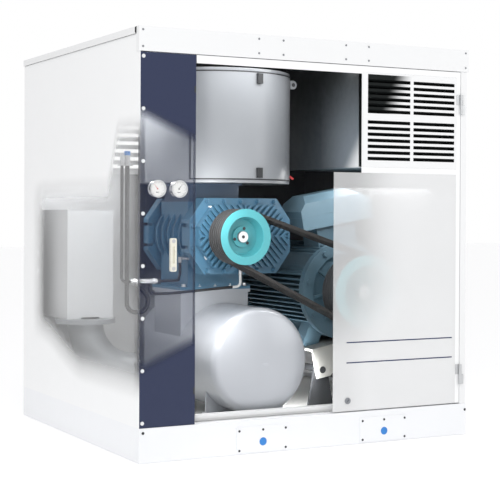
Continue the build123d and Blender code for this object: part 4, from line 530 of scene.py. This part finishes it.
def arc_strip(bm, start, end, low_z, high_z, steps=40):
    """Thin band on the drum's cover between two angles and two heights."""
    outer = COVER_SHELL + GASKET
    section = ((COVER_SHELL, low_z), (COVER_SHELL, high_z), (outer, high_z), (outer, low_z))
    corners = []
    for k in range(steps + 1):
        turn = radians(start + (end - start) * k / steps)
        out = Vector((cos(turn), sin(turn), 0))
        corners.append([bm.verts.new((DRUM + out * r + Vector((0, 0, h))) * mm) for r, h in section])
    for one, two in zip(corners, corners[1:]):
        for j in range(4):
            bm.faces.new((one[j], one[(j + 1) % 4], two[(j + 1) % 4], two[j]))
    bm.faces.new(corners[0][::-1])
    bm.faces.new(corners[-1])


def gasket(bm):
    low, high = DRUM_LOW + GASKET_INSET, DRUM_HIGH - GASKET_INSET
    for low_z, high_z in ((low, low + GASKET_WIDTH), (high - GASKET_WIDTH, high)):
        arc_strip(bm, COVER_START, COVER_END, low_z, high_z)
    for edge in (COVER_START, COVER_END - 1):
        arc_strip(bm, edge, edge + 1, low, high, 1)


def lug(bm):
    rod(bm, (118, -322, LUG_Z), 20.0, 6.0, sides=32)
    block(bm, (106, -316, LUG_Z), (22, 6, 40))


# Painted shade: a dark disc stands for the lug's eye.
def lug_eye(bm):
    rod(bm, (121, -325.6, LUG_Z), 9.0, 1.4)


def red_tab(bm):
    block(bm, (112, -318, 1168), (34, 3, 9), Matrix.Rotation(radians(30), 4, "Y"))


def plug(bm):
    rod(bm, (-334, -400, 1022), 5.0, 22.0, "Z", 16)
    rod(bm, (-334, -400, 1012), 9.0, 6.0, "Z", HEX)
    rod(bm, (-334, -400, 1031), 4.0, 26.0, "X", 16)


def filler(bm):
    rod(bm, (-352, -399, 812), 13.0, 8.0, sides=32)


def filler_eye(bm):
    rod(bm, (-352, -403.4, 812), 6.0, 1.0)


piece("cover_gasket", gasket, dark, "skid", smooth=False)
piece("drum_lug", lug, paints["drum_grey"], "skid")
piece("drum_lug_eye", lug_eye, dark, "skid")
piece("red_tab", red_tab, red_knob, "skid", smooth=False)
piece("breather_plug", plug, bright, "skid")
piece("oil_filler", filler, bright, "skid")
piece("oil_filler_eye", filler_eye, dark, "skid")


# ---------------------------------------------------------------- belts and spring
def crossing(node):
    """A copy of a node's mesh, running from the skid at start to the base at end, baked in place of the node,
    which is hidden.
    """
    item = bpy.data.objects.new(node + "_crossing", nodes[node].data.copy())
    bpy.context.scene.collection.objects.link(item)
    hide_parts(node)
    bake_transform(item)


crossing("drive_belts")
crossing("tension_spring")


# ---------------------------------------------------------------- duct's rear, past the motor
def duct_back(bm):
    depth, middle = 330, -205
    block(bm, (246, middle, 1464.5), (2.0, depth, 514))
    block(bm, (505, middle, 1208.5), (516, depth, 2.0))
    block(bm, (505, -41, 1464.5), (516, 2.0, 514))


# Painted shade: the duct's rear sheets are darker towards the top.
duct_grey, x, y, z = placed("duct grey", WHITE, 0.5, mottle=0.01)
duct_grey.put(duct_grey.shader.inputs["Base Color"],
              duct_grey.mix(duct_grey.ramp(z, 1.62, 1.22), DUCT_PAINTED_SHADE, (0.055, 0.066, 0.075)))
piece("duct_rear_sheets", duct_back, duct_grey, "skid", smooth=False)


# ---------------------------------------------------------------- oil lines
def caps(bm):
    rod(bm, (-738, -420, 1253.5), 12.5, 17.0, "Z", 12)


def thin_cap(bm):
    rod(bm, (-762, -420, 1249.0), 8.5, 8.0, "Z", HEX)


piece("fill_cap", caps, blue_label, "skid")
piece("vent_cap", thin_cap, paints["zinc"], "skid")

# ---------------------------------------------------------------- stage, light, camera
FLOOR_SIZE, FLOOR_GLOW = 30.0, 0.22
WORLD_LIGHT, WORLD_SEEN = 0.80, 1.0  # the world's strength as a light, and as the camera's backdrop

floor_paint = finish_of("pale floor", (0.93, 0.93, 0.94), 0.6, mottle=0.005)
floor_paint.shader.inputs["Emission Color"].default_value = (1, 1, 1, 1)
floor_paint.shader.inputs["Emission Strength"].default_value = FLOOR_GLOW
bm = bmesh.new()
bmesh.ops.create_grid(bm, x_segments=1, y_segments=1, size=FLOOR_SIZE)
floor_mesh = bpy.data.meshes.new("floor")
bm.to_mesh(floor_mesh)
bm.free()
floor_mesh.materials.append(floor_paint.material)
floor = bpy.data.objects.new("floor", floor_mesh)
floor.location = (0, 0, -0.002)
bpy.context.scene.collection.objects.link(floor)

world = bpy.data.worlds.new("studio")
bpy.context.scene.world = world
world.use_nodes = True
tree = world.node_tree
background = tree.nodes["Background"]
background.inputs["Color"].default_value = (1, 1, 1, 1)
rays = tree.nodes.new("ShaderNodeLightPath")
seen = tree.nodes.new("ShaderNodeMapRange")
tree.links.new(rays.outputs["Is Camera Ray"], seen.inputs["Value"])
seen.inputs["To Min"].default_value = WORLD_LIGHT
seen.inputs["To Max"].default_value = WORLD_SEEN
tree.links.new(seen.outputs[0], background.inputs["Strength"])


def soft_light(name, at, towards, size, power):
    """Rectangular lamp, hidden from the camera."""
    data = bpy.data.lights.new(name, "AREA")
    data.shape = "RECTANGLE"
    data.size, data.size_y = size
    data.energy = power
    item = bpy.data.objects.new(name, data)
    item.location = at
    item.rotation_mode = "QUATERNION"
    item.rotation_quaternion = (Vector(towards) - Vector(at)).to_track_quat("-Z", "Y")
    item.visible_camera = False
    bpy.context.scene.collection.objects.link(item)


# Name, place, aim, width and height in metres, and power. The small ones are inside the enclosure.
LAMPS = (
    ("key", (-3.2, -4.6, 3.6), (0, 0, 0.9), (3.0, 3.0), 85),
    ("fill", (3.8, -3.6, 2.2), (0, 0, 0.8), (2.5, 2.5), 25),
    ("under roof", (-0.15, -0.62, 1.66), (-0.15, -0.20, 0.3), (0.8, 0.06), 2),
    ("left bay", (-0.60, 0.0, 1.50), (-0.60, 0.05, 0.3), (0.25, 0.7), 6),
    ("blower side", (-0.52, -0.68, 1.06), (-0.30, -0.20, 0.88), (0.2, 0.1), 1.5),
    ("tank side", (-0.52, -0.68, 0.60), (-0.28, -0.20, 0.35), (0.2, 0.1), 0.9),
    ("motor bay", (0.50, -0.30, 1.19), (0.35, -0.10, 0.3), (0.4, 0.3), 2),
    ("pulley bay", (0.35, -0.69, 1.12), (0.35, -0.50, 0.4), (0.5, 0.05), 1.2),
    ("low bay", (0.10, -0.45, 0.30), (0.24, 0.10, 0.10), (0.10, 0.16), 2.2),
)
for lamp in LAMPS:
    soft_light(*lamp)

HEADING, PITCH, ROLL = radians(28.07), radians(-0.40), radians(0.27)
camera_data = bpy.data.cameras.new("camera")
camera_data.sensor_width = 36.0
camera_data.lens = 95.38
camera_data.shift_y = -0.0577
camera_data.clip_end = 60.0
camera = bpy.data.objects.new("camera", camera_data)
camera.location = (-2.9062, -5.5857, 1.00865)
gaze = Vector((sin(HEADING) * cos(PITCH), cos(HEADING) * cos(PITCH), sin(PITCH)))
camera.rotation_mode = "QUATERNION"
camera.rotation_quaternion = gaze.to_track_quat("-Z", "Y") @ Matrix.Rotation(ROLL, 3, "Z").to_quaternion()
bpy.context.scene.collection.objects.link(camera)
bpy.context.scene.camera = camera
bpy.context.scene.view_settings.view_transform = "Standard"
